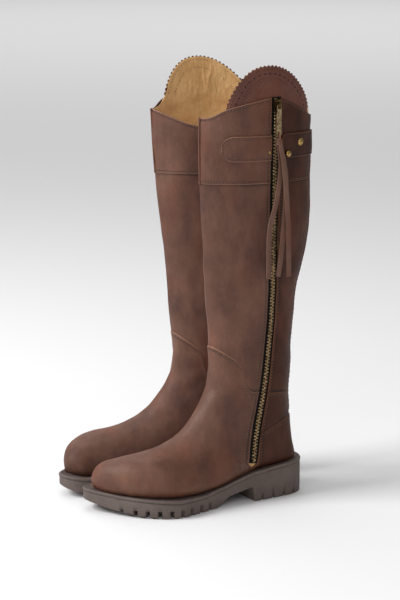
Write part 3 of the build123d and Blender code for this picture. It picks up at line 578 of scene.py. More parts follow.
# ---- materials ---------------------------------------------------------------------------
class Look:
    """One procedural material, built up node by node in object space."""

    def __init__(self, name):
        self.material = bpy.data.materials.new(name)
        self.material.use_nodes = True
        self.tree = self.material.node_tree
        self.shader = self.tree.nodes["Principled BSDF"]
        self.place = self.node("TexCoord").outputs["Object"]

    def put(self, socket, value):
        """Sets a socket to a number or a colour, or links another node's output to it."""
        if isinstance(value, (int, float)):
            socket.default_value = value
        elif isinstance(value, tuple):
            socket.default_value = colour(value)
        else:
            self.tree.links.new(value, socket)

    def node(self, kind, **values):
        made = self.tree.nodes.new(f"ShaderNode{kind}")
        for name, value in values.items():
            self.put(made.inputs[name], value)
        return made

    def noise(self, size, detail=3.0, roughness=0.55, scale=(1, 1, 1)):
        """Noise whose blotches are about size metres across, stretched where scale is under 1."""
        stretch = self.node("Mapping", Vector=self.place)
        stretch.inputs["Scale"].default_value = scale
        vector = stretch.outputs["Vector"]
        return self.node(
            "TexNoise", Scale=1 / size, Detail=detail, Roughness=roughness, Vector=vector
        ).outputs["Fac"]

    def pores(self, size):
        cells = self.node("TexVoronoi", Scale=1 / size, Vector=self.place)
        cells.feature = "SMOOTH_F1"
        return cells.outputs["Distance"]

    def ramp(self, value, *stops):
        made = self.node("ValToRGB", Fac=value)
        ends = made.color_ramp.elements
        for element, (position, shade) in zip(ends, (stops[0], stops[-1])):
            element.position = position
            element.color = colour(shade)
        for position, shade in stops[1:-1]:
            ends.new(position).color = colour(shade)
        return made.outputs["Color"]

    def blend(self, share, first, second):
        made = self.node("Mix")
        made.data_type = "RGBA"
        for value, socket in ((share, 0), (first, 6), (second, 7)):
            self.put(made.inputs[socket], value)
        return made.outputs[2]

    def maths(self, kind, first, second, clamp=False):
        made = self.node("Math")
        made.operation = kind
        made.use_clamp = clamp
        self.put(made.inputs[0], first)
        self.put(made.inputs[1], second)
        return made.outputs[0]

    def use(self, **inputs):
        for name, value in inputs.items():
            self.put(self.shader.inputs[name.replace("_", " ")], value)

    def bump(self, height, depth):
        """Relief of the given depth in metres; calls add up."""
        made = self.node("Bump", Height=height, Distance=depth)
        normal = self.shader.inputs["Normal"]
        if normal.is_linked:
            self.put(made.inputs["Normal"], normal.links[0].from_socket)
        self.put(normal, made.outputs["Normal"])


def colour(rgb):
    """Linear colour from 0 to 255 display values."""
    values = []
    for channel in rgb:
        c = channel / 255
        values.append(c / 12.92 if c <= 0.04045 else ((c + 0.055) / 1.055) ** 2.4)
    return (*values, 1.0)


SHADE = (24, 13, 9)  # painted shade: seam grooves, lines where panels meet or overlap, and the insides of cut edges
RUST = (112, 60, 40)  # reddish patches


def leather(name, dark, middle, pale, worn, roughness=0.58, sheen=0.10):
    """Greased leather: broad blotches, rubbed pale patches, fine pores and worn edges, with painted shade in
    seam grooves and where panels meet.
    """
    look = Look(name)
    base = look.ramp(look.noise(0.075, 4.0, 0.6), (0.30, dark), (0.50, middle), (0.70, pale))
    streaks = look.noise(0.016, 5.0, 0.65, (1.0, 1.0, 0.45))
    streaked = look.ramp(streaks, (0.35, dark), (0.65, pale))
    base = look.blend(look.maths("MULTIPLY", streaks, 0.55), base, streaked)
    patches = look.maths("ADD", look.noise(0.042, 3.0, 0.6, (1.0, 1.0, 0.6)), -0.5)
    base = look.blend(look.maths("MULTIPLY", patches, 2.4, True), base, RUST)
    base = look.blend(0.10, base, look.ramp(look.noise(0.0016, 2.0, 0.5), (0.35, dark), (0.7, pale)))
    painted = look.node("Attribute")
    painted.attribute_name = "wear_and_shade"
    wear_and_shade = painted.outputs["Fac"]
    base = look.blend(look.maths("MULTIPLY", wear_and_shade, 0.6, True), base, worn)
    # Negative attribute values paint shade: stitch grooves, contact shadows beside overlapping panels, butt
    # joints, and the undersides and cut walls of pieces.
    base = look.blend(look.maths("MULTIPLY", wear_and_shade, -0.85, True), base, SHADE)
    rough = look.ramp(streaks, (0.3, grey(roughness + 0.09)), (0.7, grey(roughness - 0.07)))
    look.use(Base_Color=base, Roughness=rough, Specular_IOR_Level=0.26 + sheen)
    look.use(Sheen_Weight=sheen, Sheen_Roughness=0.5, Sheen_Tint=pale)
    look.bump(look.pores(0.0011), 0.0001)
    look.bump(look.noise(0.0045, 4.0, 0.6), 0.00022)
    look.bump(look.noise(0.022, 3.0, 0.5), 0.0007)
    return look.material


def grey(value):
    """Display grey whose linear value is the given number."""
    value = min(max(value, 0.0), 1.0)
    shown = value * 12.92 if value <= 0.0031308 else 1.055 * value ** (1 / 2.4) - 0.055
    return (shown * 255,) * 3


def tan_leather():
    look = Look("tan_lining")
    broad = look.noise(0.05, 3.0, 0.55)
    base = look.ramp(broad, (0.3, (200, 154, 98)), (0.6, (226, 184, 128)), (0.8, (236, 198, 144)))
    fine = look.noise(0.004, 4.0, 0.6)
    base = look.blend(0.25, base, look.ramp(fine, (0.3, (170, 128, 78)), (0.7, (226, 186, 132))))
    look.use(Base_Color=base, Roughness=0.55, Specular_IOR_Level=0.35, Sheen_Weight=0.12)
    look.bump(look.noise(0.0012, 3.0, 0.6), 0.00008)
    look.bump(look.noise(0.010, 3.0, 0.5), 0.0016)
    look.bump(look.noise(0.020, 4.0, 0.6, (1.0, 1.0, 0.35)), 0.0030)
    return look.material


def rubber():
    look = Look("sole_rubber")
    base = look.ramp(look.noise(0.03, 3.0, 0.6), (0.35, (90, 78, 73)), (0.7, (104, 91, 86)))
    dust = look.noise(0.0025, 4.0, 0.7)
    base = look.blend(0.2, base, look.ramp(dust, (0.4, (80, 69, 64)), (0.7, (120, 108, 102))))
    look.use(Base_Color=base, Roughness=0.62, Specular_IOR_Level=0.32)
    look.bump(look.noise(0.0009, 2.0, 0.6), 0.00006)
    look.bump(look.noise(0.006, 2.0, 0.5), 0.00015)
    return look.material


def brass(name, dark, bright, roughness):
    """Antique brass: bright where it is rubbed, brown in its hollows."""
    look = Look(name)
    base = look.ramp(look.noise(0.003, 5.0, 0.7), (0.35, dark), (0.62, bright))
    duller = grey(roughness + 0.15)
    rough = look.ramp(look.noise(0.0015, 3.0, 0.6), (0.3, duller), (0.7, grey(roughness - 0.05)))
    look.use(Base_Color=base, Metallic=1.0, Roughness=rough)
    look.bump(look.noise(0.0008, 3.0, 0.6), 0.00004)
    return look.material


def woven(name, dark, pale, sheen):
    look = Look(name)
    wave = look.node("TexWave", Scale=320.0, Distortion=1.5, Vector=look.place)
    wave.wave_type = "BANDS"
    wave.bands_direction = "Z"
    ribs = wave.outputs["Fac"]
    base = look.blend(ribs, dark, pale)
    look.use(Base_Color=base, Roughness=0.85, Sheen_Weight=sheen, Specular_IOR_Level=0.2)
    look.bump(ribs, 0.00015)
    look.bump(look.noise(0.0008, 2.0, 0.6), 0.0001)
    return look.material


def plain(name, dark, pale, roughness, size=0.004):
    look = Look(name)
    base = look.ramp(look.noise(size, 4.0, 0.65), (0.35, dark), (0.7, pale))
    look.use(Base_Color=base, Roughness=roughness)
    look.bump(look.noise(size / 4, 3.0, 0.6), 0.0001)
    return look.material


UPPER = leather("upper_leather", (64, 38, 28), (89, 57, 44), (116, 79, 62), (150, 110, 86))
# A darker copy of the upper leather for the pieces behind the zip and round the back: its darker tones are
# painted shade for the boot's rear, which the light from the front-left leaves in shade.
REAR_SHADED = leather("rear_leather_shaded", (38, 15, 7), (58, 27, 14), (78, 39, 21), (122, 78, 54), sheen=0.0)
PLATE = leather("plate_leather", (76, 40, 31), (98, 56, 44), (118, 74, 58), (70, 40, 30), 0.5)
THONG = leather("thong_leather", (82, 54, 42), (106, 74, 60), (124, 92, 76), (136, 100, 80), 0.6)
TAN = tan_leather()
RUBBER = rubber()
STITCH = woven("stitching", (84, 56, 42), (138, 102, 80), 0.2)
TAPE = woven("zip_tape", (7, 5, 4), (18, 13, 11), 0.0)
TEETH = brass("zip_teeth", (92, 74, 52), (206, 176, 134), 0.45)
STUDS = brass("stud_brass", (110, 84, 46), (206, 170, 104), 0.26)
SLIDER = brass("slider_metal", (34, 27, 19), (120, 98, 62), 0.36)
PULLER = brass("puller_metal", (120, 100, 72), (214, 190, 148), 0.28)
# Painted shade: the dark colour of the punched holes stands in for the shade inside them.
HOLE_SHADE = plain("punched_hole_shade", (30, 17, 12), (44, 27, 20), 0.9, 0.001)
BOARD = plain("insole_board", (150, 128, 102), (176, 154, 124), 0.85)
STIFF = plain("stiffener", (186, 178, 160), (206, 200, 184), 0.8)


# ---- leather panels ----------------------------------------------------------------------
EDGE_STEPS = (0.0, 0.12, 0.3, 0.55, 0.9, 1.5, 2.1, 2.6, 3.2, 4.4, 6.2, 8.5)
ROLL = 0.9
OVERLAP_RISE = 0.75  # how far a panel stands up where it lies over its neighbour
OVERLAP_REACH = 9.0
SPACING = 3.2
STITCH_IN = 2.6
STITCH_PITCH = 3.4
UPPER_THICK = 1.9
EDGE_NAMES = ("top", "bottom", "left", "right")
TUCK_HIGH = 6.0  # how far the shaft runs up under the band
TUCK_LOW = 5.0  # how far a panel runs down under the next one
SHAFT_FOOT = 172.0  # where the shaft ends at the crease
INNER_CREASE = -1e-6  # the crease, taken as a place on the inner half
COUNTER_FOOT = ((76.0, 31.0), (60.0, 33.0), (44.0, 34.5), (30.0, 36.0), (18.0, 37.5), (10.5, 38.5))


def shares(length, spacing=SPACING):
    """Shares of the way across a panel, close together beside both edges."""
    near = [step for step in EDGE_STEPS if step < length / 3]
    middle = np.arange(near[-1] + spacing, length - near[-1] - spacing / 2, spacing)
    return np.concatenate([near, middle, [length - step for step in near[::-1]]]) / length


def edge_depth(away, kind):
    """How deep the surface lies this far from an edge of the given kind."""
    rolled = ROLL * (1 - np.sqrt(np.clip(1 - (1 - np.clip(away / ROLL, 0, 1)) ** 2, 0, 1)))
    groove = 0.26 * np.exp(-(((away - STITCH_IN) / 0.75) ** 2))
    if kind == "cut":
        return rolled + groove
    if kind == "over":
        return rolled + groove - OVERLAP_RISE * (1 - ease(away / OVERLAP_REACH))
    if kind == "under":
        return 0.95 * (1 - ease(away / 7.5))
    return 0.5 * np.exp(-((away / 1.0) ** 2))


def stitch(shape, line, lift_way, length=2.3, radius=0.36):
    """A row of short thread capsules along a line of points, standing along lift_way."""
    travelled = lengths(line)
    for place in np.arange(STITCH_PITCH / 2, travelled[-1], STITCH_PITCH):
        ends = [
            np.array([np.interp(place + d * length / 2, travelled, column) for column in line.T])
            for d in (-1.0, -0.6, 0.0, 0.6, 1.0)
        ]
        up = np.array([np.interp(place, travelled, column) for column in lift_way.T])
        sink = (-0.30, -0.02, 0.12, -0.02, -0.30)
        shape.tube([e + up * d for e, d in zip(ends, sink)], [0.08, radius, radius, radius, 0.08], 6)


def outward(ts):
    """Unit normals out of the leather at coordinates ts."""
    h = 0.01
    here = surface(ts)
    down = surface(ts + np.array((h, 0.0))) - here
    along = surface(ts + np.array((0.0, h / 4))) - here
    normal = np.cross(down, along)
    normal /= np.linalg.norm(normal, axis=-1)[..., None] + 1e-12
    centre = here.copy()
    rows = stations_at(ts[..., 0])
    centre[..., 0] = rows[..., 4]
    centre[..., 1] = (rows[..., 0] + rows[..., 2]) / 2
    centre[..., 2] = (rows[..., 1] + rows[..., 3]) / 2
    flip = np.sign(((here - centre) * normal).sum(-1))
    return normal * flip[..., None]


def panel(name, side, edges, kinds, thread, sewn=(), material=None):
    """One leather panel between four edges; kinds says how each edge lies."""
    top, bottom, left, right = edges
    wide = (lengths(surface(top))[-1] + lengths(surface(bottom))[-1]) / 2
    tall = (lengths(surface(left))[-1] + lengths(surface(right))[-1]) / 2
    across = shares(wide)
    down = shares(tall)
    net = coons(*edges, across, down)
    flat = surface(net)
    widths = np.array([lengths(row)[-1] for row in flat])[:, None]
    heights = np.array([lengths(column)[-1] for column in flat.transpose(1, 0, 2)])[None, :]
    away = (
        down[:, None] * heights, (1 - down)[:, None] * heights,
        across[None] * widths, (1 - across)[None] * widths,
    )
    depth = np.zeros(net.shape[:2])
    worn = np.zeros(net.shape[:2])
    # dark gathers painted shade: a line along the stitch groove beside cut and overlapping edges, a contact
    # shadow where a neighbouring panel's edge lies over this one, and a line where two panels butt.
    dark = np.zeros(net.shape[:2])
    under = np.zeros(net.shape[:2])
    for distance, kind in zip(away, kinds):
        depth = depth + edge_depth(distance, kind)
        if kind in ("cut", "over"):
            worn = np.maximum(worn, np.exp(-((distance / 0.85) ** 2)))
            dark = np.maximum(dark, 0.75 * np.exp(-(((distance - STITCH_IN) / 0.9) ** 2)))
        if kind == "under":
            under = np.maximum(under, 1 - ease(distance / 7.5))
            dark = np.maximum(dark, 1 - ease((distance - 5.8) / 2.6))
        if kind == "butt":
            dark = np.maximum(dark, 0.6 * np.exp(-((distance / 0.8) ** 2)))
    shape = Shape()
    inner = np.maximum(depth + 0.35, UPPER_THICK + 0.9 * under)
    # The outer face takes the pale worn edges, or the painted shade where that is stronger; the inner face
    # and walls are painted dark as shade.
    shape.slab(skin(net, depth, side), skin(net, inner, side), np.where(worn > dark, worn, -dark), -1.0)
    row = np.linspace(0.01, 0.99, 150)
    for which in sewn:
        index = EDGE_NAMES.index(which)
        level = index < 2
        share = STITCH_IN / (tall if level else wide)
        share = np.array([1 - share if index % 2 else share])
        if level:
            line = coons(*edges, row, share)[0]
        else:
            line = coons(*edges, share, row)[:, 0]
        raised = -OVERLAP_RISE * (1 - ease(STITCH_IN / OVERLAP_REACH)) if kinds[index] == "over" else 0.0
        stitch(thread, skin(line, raised + 0.2, side), outward(line))
    finish_piece(name, side, shape, material or UPPER, stands_for=[name])


def to_zip(points, corner, side=1.0):
    """An edge from the crease to a corner beside the zip."""
    return meet(edge(points, side, "crease"), corner, True)


def from_zip(points, corner, side=1.0):
    """An edge from a corner beside the zip to the back."""
    return meet(edge(points, side, None, "back"), corner)


def tucked_under(seam):
    return [(u, z - TUCK_LOW) for u, z in seam]


def level_edge(us, z):
    return [(u, z) for u in us]


def inner_slot(*heights, forward=5.0):
    """The inner side's seam that answers to the zip, as an edge."""
    return edge([(zip_u(z) + forward, z) for z in heights], -1.0)


def band_panels(side, thread):
    high, low = crease_row(433.3), crease_row(BAND_SEAM)
    back_high, back_low = back_row(431.5), back_row(BAND_SEAM)
    slot = slot_edge(454.6, BAND_SEAM, 1)
    top = to_zip(OUTER_TOP_FRONT, slot[0])
    low_edge = to_zip(level_edge((131.3, 100.0, 60.0), BAND_SEAM), slot[-1])
    panel("band_front", side, (top, low_edge, upright(0.0, high, low), slot),
          ("cut", "over", "butt", "cut"), thread, ("top", "bottom", "right"))

    slot = slot_edge(453.9, BAND_SEAM, -1)
    top = from_zip(OUTER_TOP_REAR, slot[0])
    low_edge = from_zip(level_edge((45.9, 20.0, -7.0), BAND_SEAM), slot[-1])
    panel("band_rear", side, (top, low_edge, slot, upright(1.0, back_high, back_low)),
          ("cut", "over", "cut", "butt"), thread, ("top", "bottom", "left"), REAR_SHADED)

    top = edge(INNER_TOP, -1.0, "crease", "back")
    low_edge = edge(level_edge((131.3, 60.0, -7.0), BAND_SEAM), -1.0, "crease", "back")
    uprights = upright(INNER_CREASE, high, low), upright(-1.0, back_high, back_low)
    panel("band_inner", side, (top, low_edge, *uprights),
          ("cut", "over", "butt", "butt"), thread, ("top", "bottom"))


def shaft_panels(side, thread):
    high = BAND_SEAM + TUCK_HIGH
    crease_high, crease_low = crease_row(high), crease_row(SHAFT_FOOT)
    back_high, back_low = back_row(high), back_row(112.0)
    slot = slot_edge(high, 119.0, 1)
    top = to_zip(level_edge((131.5, 100.0, 68.0), high), slot[0])
    low = edge(VAMP_SEAM, 1.0, "crease", None, (4.0, -4.5))
    low[0] = (crease_low, 0.0)
    low = meet(low, slot[-1], True)
    panel("shaft_front", side, (top, low, upright(0.0, crease_high, crease_low), slot),
          ("under", "under", "butt", "cut"), thread, ("right",))

    slot = slot_edge(high, 116.0, -1)
    top = from_zip(level_edge((46.3, 20.0, -7.0), high), slot[0])
    low = from_zip(tucked_under(QUARTER_SEAM), slot[-1])
    panel("shaft_rear", side, (top, low, slot, upright(1.0, back_high, back_low)),
          ("under", "under", "cut", "butt"), thread, ("left",), REAR_SHADED)

    top = edge(level_edge((131.5, 60.0, -7.0), high), -1.0, "crease", "back")
    low = edge([(u + 2.0, z - TUCK_LOW) for u, z in VAMP_SEAM + QUARTER_SEAM], -1.0, "crease", "back")
    low[0] = (crease_low, INNER_CREASE)
    uprights = upright(INNER_CREASE, crease_high, crease_low), upright(-1.0, back_high, back_low)
    panel("shaft_inner", side, (top, low, *uprights), ("under", "under", "butt", "butt"), thread)


def vamp_panel(side, thread):
    """The vamp, from the zip over the instep to the same line on the inner side."""
    slot = slot_edge(124.0, 30.0, 1)
    inner_line = inner_slot(122.6, 100.0, 76.0, 52.0, 33.0, forward=0.0)
    seam_out = to_zip(VAMP_SEAM, slot[0])
    seam_in = to_zip(VAMP_SEAM[:-1] + ((66.0, 123.4), (61.8, 122.6)), inner_line[0], -1.0)
    seam_in[0] = seam_out[0] = (crease_row(176.5), 0.0)
    top = spread_on(np.vstack([seam_out[::-1], seam_in[1:]]))
    toe_low = LAST_ROW - 0.02
    left = spread_on(np.vstack([slot, feather(slot[-1], 1.0, toe_low)]))
    right = spread_on(np.vstack([inner_line, feather(inner_line[-1], -1.0, toe_low)]))
    toe = np.stack([np.full(160, toe_low), np.linspace(left[-1, 1], right[-1, 1], 160)], -1)
    panel("vamp", side, (top, toe, left, right),
          ("over", "butt", "cut", "over"), thread, ("top", "left", "right"))


def heel_panel(name, side, thread, slot, inner, outer_top, inner_top, outer_low, inner_low, foot):
    """A panel from the zip round the back to the inner side; foot says how its lower edge lies."""
    top = around(from_zip(outer_top, slot[0]), from_zip(inner_top, inner[0], -1.0))
    low = around(from_zip(outer_low, slot[-1]), from_zip(inner_low, inner[-1], -1.0))
    panel(name, side, (top, low, slot, inner + np.array((0.0, 2.0))),
          ("over", foot, "cut", "under"), thread, ("top", "left"), REAR_SHADED)


def heel_panels(side, thread):
    tucked = tucked_under(COUNTER_SEAM)
    heel_panel("quarter", side, thread, slot_edge(121.9, 72.0, -1), inner_slot(121.0, 96.0, 71.0),
               QUARTER_SEAM, ((66.0, 122.0), *QUARTER_SEAM), tucked, [(78.0, 71.0)] + tucked[1:], "under")
    heel_panel("heel_counter", side, thread, slot_edge(77.2, 31.0, -1), inner_slot(77.0, 55.0, 31.0),
               COUNTER_SEAM, ((75.0, 77.0), *COUNTER_SEAM[1:]), COUNTER_FOOT, COUNTER_FOOT, "butt")


def feather(start, side, toe_low):
    """The hidden edge of the vamp, under the foot from the zip's end to the toe's tip."""
    x = np.linspace(0.03, 1.0, 80)
    t = start[0] + (toe_low - start[0]) * x
    s = abs(start[1]) + (0.985 - abs(start[1])) * ease(x * 1.6)
    return np.stack([t, side * s], -1)


threads = {side: Shape() for side in SIDES}
for boot_side in SIDES:
    for make_panels in (band_panels, shaft_panels, vamp_panel, heel_panels):
        make_panels(boot_side, threads[boot_side])


# ---- side plate and lining ---------------------------------------------------------------
PLATE_OVERLAP = 12.0
PLATE_FOOT = ((114.0, 441.5), (83.7, 450.7), (57.0, 455.0), (30.5, 446.0), (1.0, 432.5))
PLATE_DEPTH = 2.1
PLATE_THICK = 1.0
LINING_OUT = 2.05
LINING_IN = 3.35
LINING_STEP = 1.15  # how much deeper the lining lies behind the plate
FOLD_CENTRE = (58.0, 446.0)
FOLD_ANGLES = (0.35, 0.75, 1.05, 1.5, 1.85, 2.2, 2.5, 2.85)
SEAM_U = 50.0


def scalloped(line):
    """The line with a row of small rounded bites along it."""
    x = np.linspace(0.0, 1.0, len(line))
    way = np.gradient(line, axis=0)
    way /= np.linalg.norm(way, axis=1)[:, None]
    dip = SCALLOP_DEPTH * (1 - np.abs(np.sin(math.pi * SCALLOPS * x)))
    return line - np.stack([way[:, 1], -way[:, 0]], -1) * dip[:, None]


def inset(line, distance):
    """The plate's rim line moved in towards the plate's middle."""
    way = np.gradient(line, axis=0)
    way /= np.linalg.norm(way, axis=1)[:, None]
    normal = np.stack([way[:, 1], -way[:, 0]], -1)
    centre = np.array((60.0, 430.0))
    flip = np.sign(((centre - line) * normal).sum(1))[:, None]
    return line + normal * flip * distance


def gathers(places):
    """Folds of the plate's inner leather, in mm, spreading from a point above the opening."""
    du = places[..., 1] - FOLD_CENTRE[0]
    dz = places[..., 2] - FOLD_CENTRE[1]
    reach = np.hypot(du, dz)
    angle = np.arctan2(dz, du)
    total = np.zeros(reach.shape)
    for index, bearing in enumerate(FOLD_ANGLES):
        width = 0.05 + 0.02 * (index % 3)
        strong = 1.0 - 0.25 * (index % 2)
        total -= strong * np.exp(-(((angle - bearing) / width) ** 2))
    total *= ease((reach - 3.0) / 8.0) * (1 - ease((reach - 26.0) / 12.0))
    ahead, height = places[..., 1] - SEAM_U, places[..., 2]
    ridge = 1.1 * np.exp(-((ahead / 1.1) ** 2)) * (1 - ease((height - 462.0) / 8.0))
    hollow = 1.4 * np.exp(-(((ahead - 6.0) / 5.0) ** 2)) * (1 - ease((height - 460.0) / 16.0))
    return total + ridge - hollow


# distance from the rim, radius, pitch and place of the first hole, for each row
HOLE_ROWS = (
    (4.6, 0.55, 3.4, 1.0), (9.2, 1.15, 6.8, 2.0), (9.2, 0.5, 6.8, 5.4), (13.8, 0.55, 3.4, 1.0),
)


def side_plate(side, thread):
    rim = curve_through(PLATE_RIM, 530)
    rim_edge = locate(scalloped(rim))
    foot = curve_through([(u, z - PLATE_OVERLAP) for u, z in PLATE_FOOT], 200)
    foot_edge = locate(foot)
    left = np.linspace(rim_edge[0], foot_edge[0], 60)
    right = np.linspace(rim_edge[-1], foot_edge[-1], 60)
    across = np.linspace(0.0, 1.0, SCALLOPS * 8 + 1)
    down = shares(55.0, 2.4)
    net = coons(rim_edge, spread_on(foot_edge), left, right, across, down)
    flat = surface(net)
    heights = np.array([lengths(column)[-1] for column in flat.transpose(1, 0, 2)])[None, :]
    away = down[:, None] * heights
    roll = 0.6 * edge_depth(away, "cut")
    wear_and_shade = np.exp(-((away / 0.8) ** 2))
    outer = surface(net, PLATE_DEPTH + roll)
    inner = surface(net, PLATE_DEPTH + PLATE_THICK)
    shape = Shape()
    # Pale worn rim; the plate's back and cut walls are painted darker as shade.
    shape.slab(outer, inner, wear_and_shade, -0.6)
    finish_piece("side_plate_leather", side, shape, PLATE, stands_for=["side_plate"])

    # Dark discs at the punched holes, coloured with painted shade for the inside of each hole.
    holes = Shape()
    for distance, radius, pitch, first in HOLE_ROWS:
        line = spread(inset(rim, distance), 600)
        travelled = lengths(line)
        for place in np.arange(first, travelled[-1] - 1.0, pitch):
            spot = np.array([[np.interp(place, travelled, column) for column in line.T]])
            if spot[0, 1] < 436.0:
                continue
            ts = locate(spot)
            punched = ((-0.5, radius), (0.04, radius), (0.06, radius * 0.6), (0.02, 0.02))
            holes.lathe(punched, surface(ts, PLATE_DEPTH)[0], outward(ts)[0], 10)
    finish_piece("plate_holes", side, holes, HOLE_SHADE)
    for distance in (18.5, 21.0):
        line = locate(inset(rim, distance)[20:-20])
        stitch(thread, surface(line, PLATE_DEPTH - 0.1), outward(line))
    for distance in (4.6, 13.8):
        line = locate(inset(rim, distance)[20:-20])
        place = surface(line, LINING_IN + LINING_STEP - gathers(surface(line)))
        stitch(thread, place, -outward(line), 1.6, 0.3)


def lining(side):
    """The tan inner sock, from the boot's mouth and the plate's rim to the toe."""
    rim = inset(curve_through(PLATE_RIM, 60), 1.3)
    outer_top = [(134.6, 432.6), (127.0, 433.5), (119.0, 437.0), *rim[2:-2], (0.5, 431.6), (-6.6, 431.0)]
    over = edge(outer_top, 1.0, "crease", "back")
    inner = edge([(u, z - 0.7) for u, z in INNER_TOP], -1.0, "crease", "back")
    columns = 421
    ring = spread_on(around(over, inner), columns)[:-1]
    even = np.linspace(0.0, 2.0, columns)[:-1]
    lip = [0.0, 0.0008, 0.002, 0.004]
    down = np.concatenate([lip, np.linspace(0.0075, 0.2, 56), np.linspace(0.208, 1.0, 62)])[:, None]
    t = ring[None, :, 0] + (LAST_ROW - 1.6 - ring[None, :, 0]) * down
    s = ring[None, :, 1] + (even[None] - ring[None, :, 1]) * ease(down * 6)
    net = np.stack([t, s], -1)
    flat = surface(net)
    u = flat[..., 1]
    foot_u, foot_z = np.array(PLATE_FOOT[::-1]).T
    foot = np.interp(u, foot_u, foot_z) - PLATE_OVERLAP
    behind = ease((flat[..., 2] - foot + 4.0) / 5.0) * ease((u - 1.0) / 5.0) * ease((119.0 - u) / 6.0)
    behind = np.where(s % 2 <= 1.0, behind, 0.0)
    roll = 0.7 * np.exp(-((down / 0.0035) ** 2))
    above = ease((flat[..., 2] - foot + 2.0) / 8.0) * behind
    shape = Shape()
    outer = LINING_OUT + roll * 0.3 + LINING_STEP * behind
    inner = LINING_IN - roll * 0.5 + LINING_STEP * behind - gathers(flat) * above
    shape.slab(skin(net, outer, side), skin(net, np.maximum(inner, outer + 0.5), side), 0.0, loop=True)
    finish_piece("lining_sock", side, shape, TAN, stands_for=["lining"])


# ---- back stay, straps and studs ---------------------------------------------------------
STAY_TOP = 387.0
STAY_BOTTOM = 93.0
STAY_HALF = 9.0
STAY_SCALLOP = 5.6
STRAP_THICK = 2.0
CREASE_RADIUS = 1.15


def half_round(t):
    """Length in mm from the crease to the back along the outer side of row t."""
    s = np.linspace(0.0, 1.0, 60)
    return lengths(surface(np.stack([np.full(60, t), s], -1)))[-1]


def back_stay(side, thread):
    rows = np.linspace(back_row(STAY_TOP), back_row(STAY_BOTTOM), 240)
    heights = surface(np.stack([rows, np.ones(240)], -1))[:, 2]
    half = STAY_HALF - 1.2 * (1 - np.abs(np.sin(math.pi * heights / STAY_SCALLOP)))
    reach = np.array([half_round(t) for t in rows])
    x = np.concatenate([np.linspace(-1, -0.82, 6), np.linspace(-0.7, 0.7, 9), np.linspace(0.82, 1, 6)])
    s = 1.0 - x[None] * (half / reach)[:, None]
    net = np.stack([np.broadcast_to(rows[:, None], s.shape), s], -1)
    away = (1 - np.abs(x))[None] * half[:, None]
    ends = np.minimum(np.arange(240), np.arange(240)[::-1])[:, None] * 1.25
    depth = -1.4 + 0.9 * np.maximum(edge_depth(away, "cut"), edge_depth(ends, "cut"))
    shape = Shape()
    # Pale worn edges; the back and cut walls of the stay are painted dark as shade.
    shape.slab(skin(net, depth, side), skin(net, 0.3, side), np.exp(-((away / 0.9) ** 2)), -1.0)
    finish_piece("back_stay_leather", side, shape, REAR_SHADED, stands_for=["back_stay"])
    for sign in (-1.0, 1.0):
        line = np.stack([rows, 1.0 + sign * (STAY_HALF - 3.4) / reach], -1)[4:-4]
        stitch(thread, skin(line, -1.25, side), outward(line))


def strap(name, side, thread, s_free, s_fixed, low, high, corner, lift, stands_for, body="boot"):
    """A flat strap on the shaft; its free end is rounded, and low and high are its edges.

    One without a body is attached to no body, and isn't sewn down.
    """
    middle = (low + high) / 2
    run = abs(s_fixed - s_free) * half_round(crease_row(middle))
    x = shares(run, 2.2) * run
    y = shares(high - low, 2.2)
    half = (high - low) / 2
    bite = np.clip(corner - x, 0, corner)
    half_here = half - corner + np.sqrt(np.clip(corner**2 - bite**2, 1e-4, None))
    z = middle + (0.5 - y)[:, None] * 2 * half_here[None]
    t = np.vectorize(crease_row)(z)
    s = s_free + (s_fixed - s_free) * (x / run)[None] + 0 * t
    net = np.stack([t, s], -1)
    from_side = np.minimum(y, 1 - y)[:, None] * 2 * half_here[None]
    from_tip = np.broadcast_to(x[None], from_side.shape)
    away = np.minimum(from_side, from_tip)
    depth = -lift - STRAP_THICK + edge_depth(away, "cut")
    shape = Shape()
    # Pale worn edges, less a painted shade line along the stitch groove; the strap's underside and cut walls
    # are painted dark as shade.
    wear_and_shade = np.exp(-((away / 0.9) ** 2)) - 0.6 * np.exp(-(((away - 2.4) / 0.8) ** 2))
    shape.slab(skin(net, depth, side), skin(net, -lift, side), wear_and_shade, -1.0)
    material = UPPER if body else REAR_SHADED
    made = finish_piece(name, side, shape, material, body, stands_for)
    inner = 2.4
    turn = np.linspace(0, math.pi, 40)
    tip = np.stack([corner - (corner - inner) * np.sin(turn), np.cos(turn) * (corner - inner)], -1)
    tip[:, 1] += np.sign(tip[:, 1]) * (half - corner)
    outline = np.vstack([[(run - 1.5, half - inner)], tip, [(run - 1.5, inner - half)]])
    outline = spread(outline, 160)
    rows = [crease_row(middle + height) for height in outline[:, 1]]
    path = np.stack([rows, s_free + (s_fixed - s_free) * outline[:, 0] / run], -1)
    if body:
        stitch(thread, skin(path, -lift - STRAP_THICK + 0.12, side), outward(path))
    return made


def pierce(thing, centre, axis, radius):
    """Cuts a round hole through a piece."""
    bpy.ops.mesh.primitive_cylinder_add(vertices=32, radius=radius, depth=0.016, location=centre)
    cutter = bpy.context.object
    cutter.rotation_mode = "QUATERNION"
    cutter.rotation_quaternion = Vector(axis).to_track_quat("Z", "Y")
    cut = thing.modifiers.new("hole", "BOOLEAN")
    cut.operation = "DIFFERENCE"
    cut.solver = "EXACT"
    cut.object = cutter
    bpy.context.view_layer.update()
    result = bpy.data.meshes.new_from_object(thing.evaluated_get(bpy.context.evaluated_depsgraph_get()))
    thing.modifiers.clear()
    thing.data = result
    bpy.data.objects.remove(cutter)


def share_at(u, z=400.0):
    """The share of the way round of a side-view place on the outer half."""
    return locate(((u, z),))[0, 1]


def joint_named(name):
    return next(j for j in frame["joints"] if j["name"] == name)


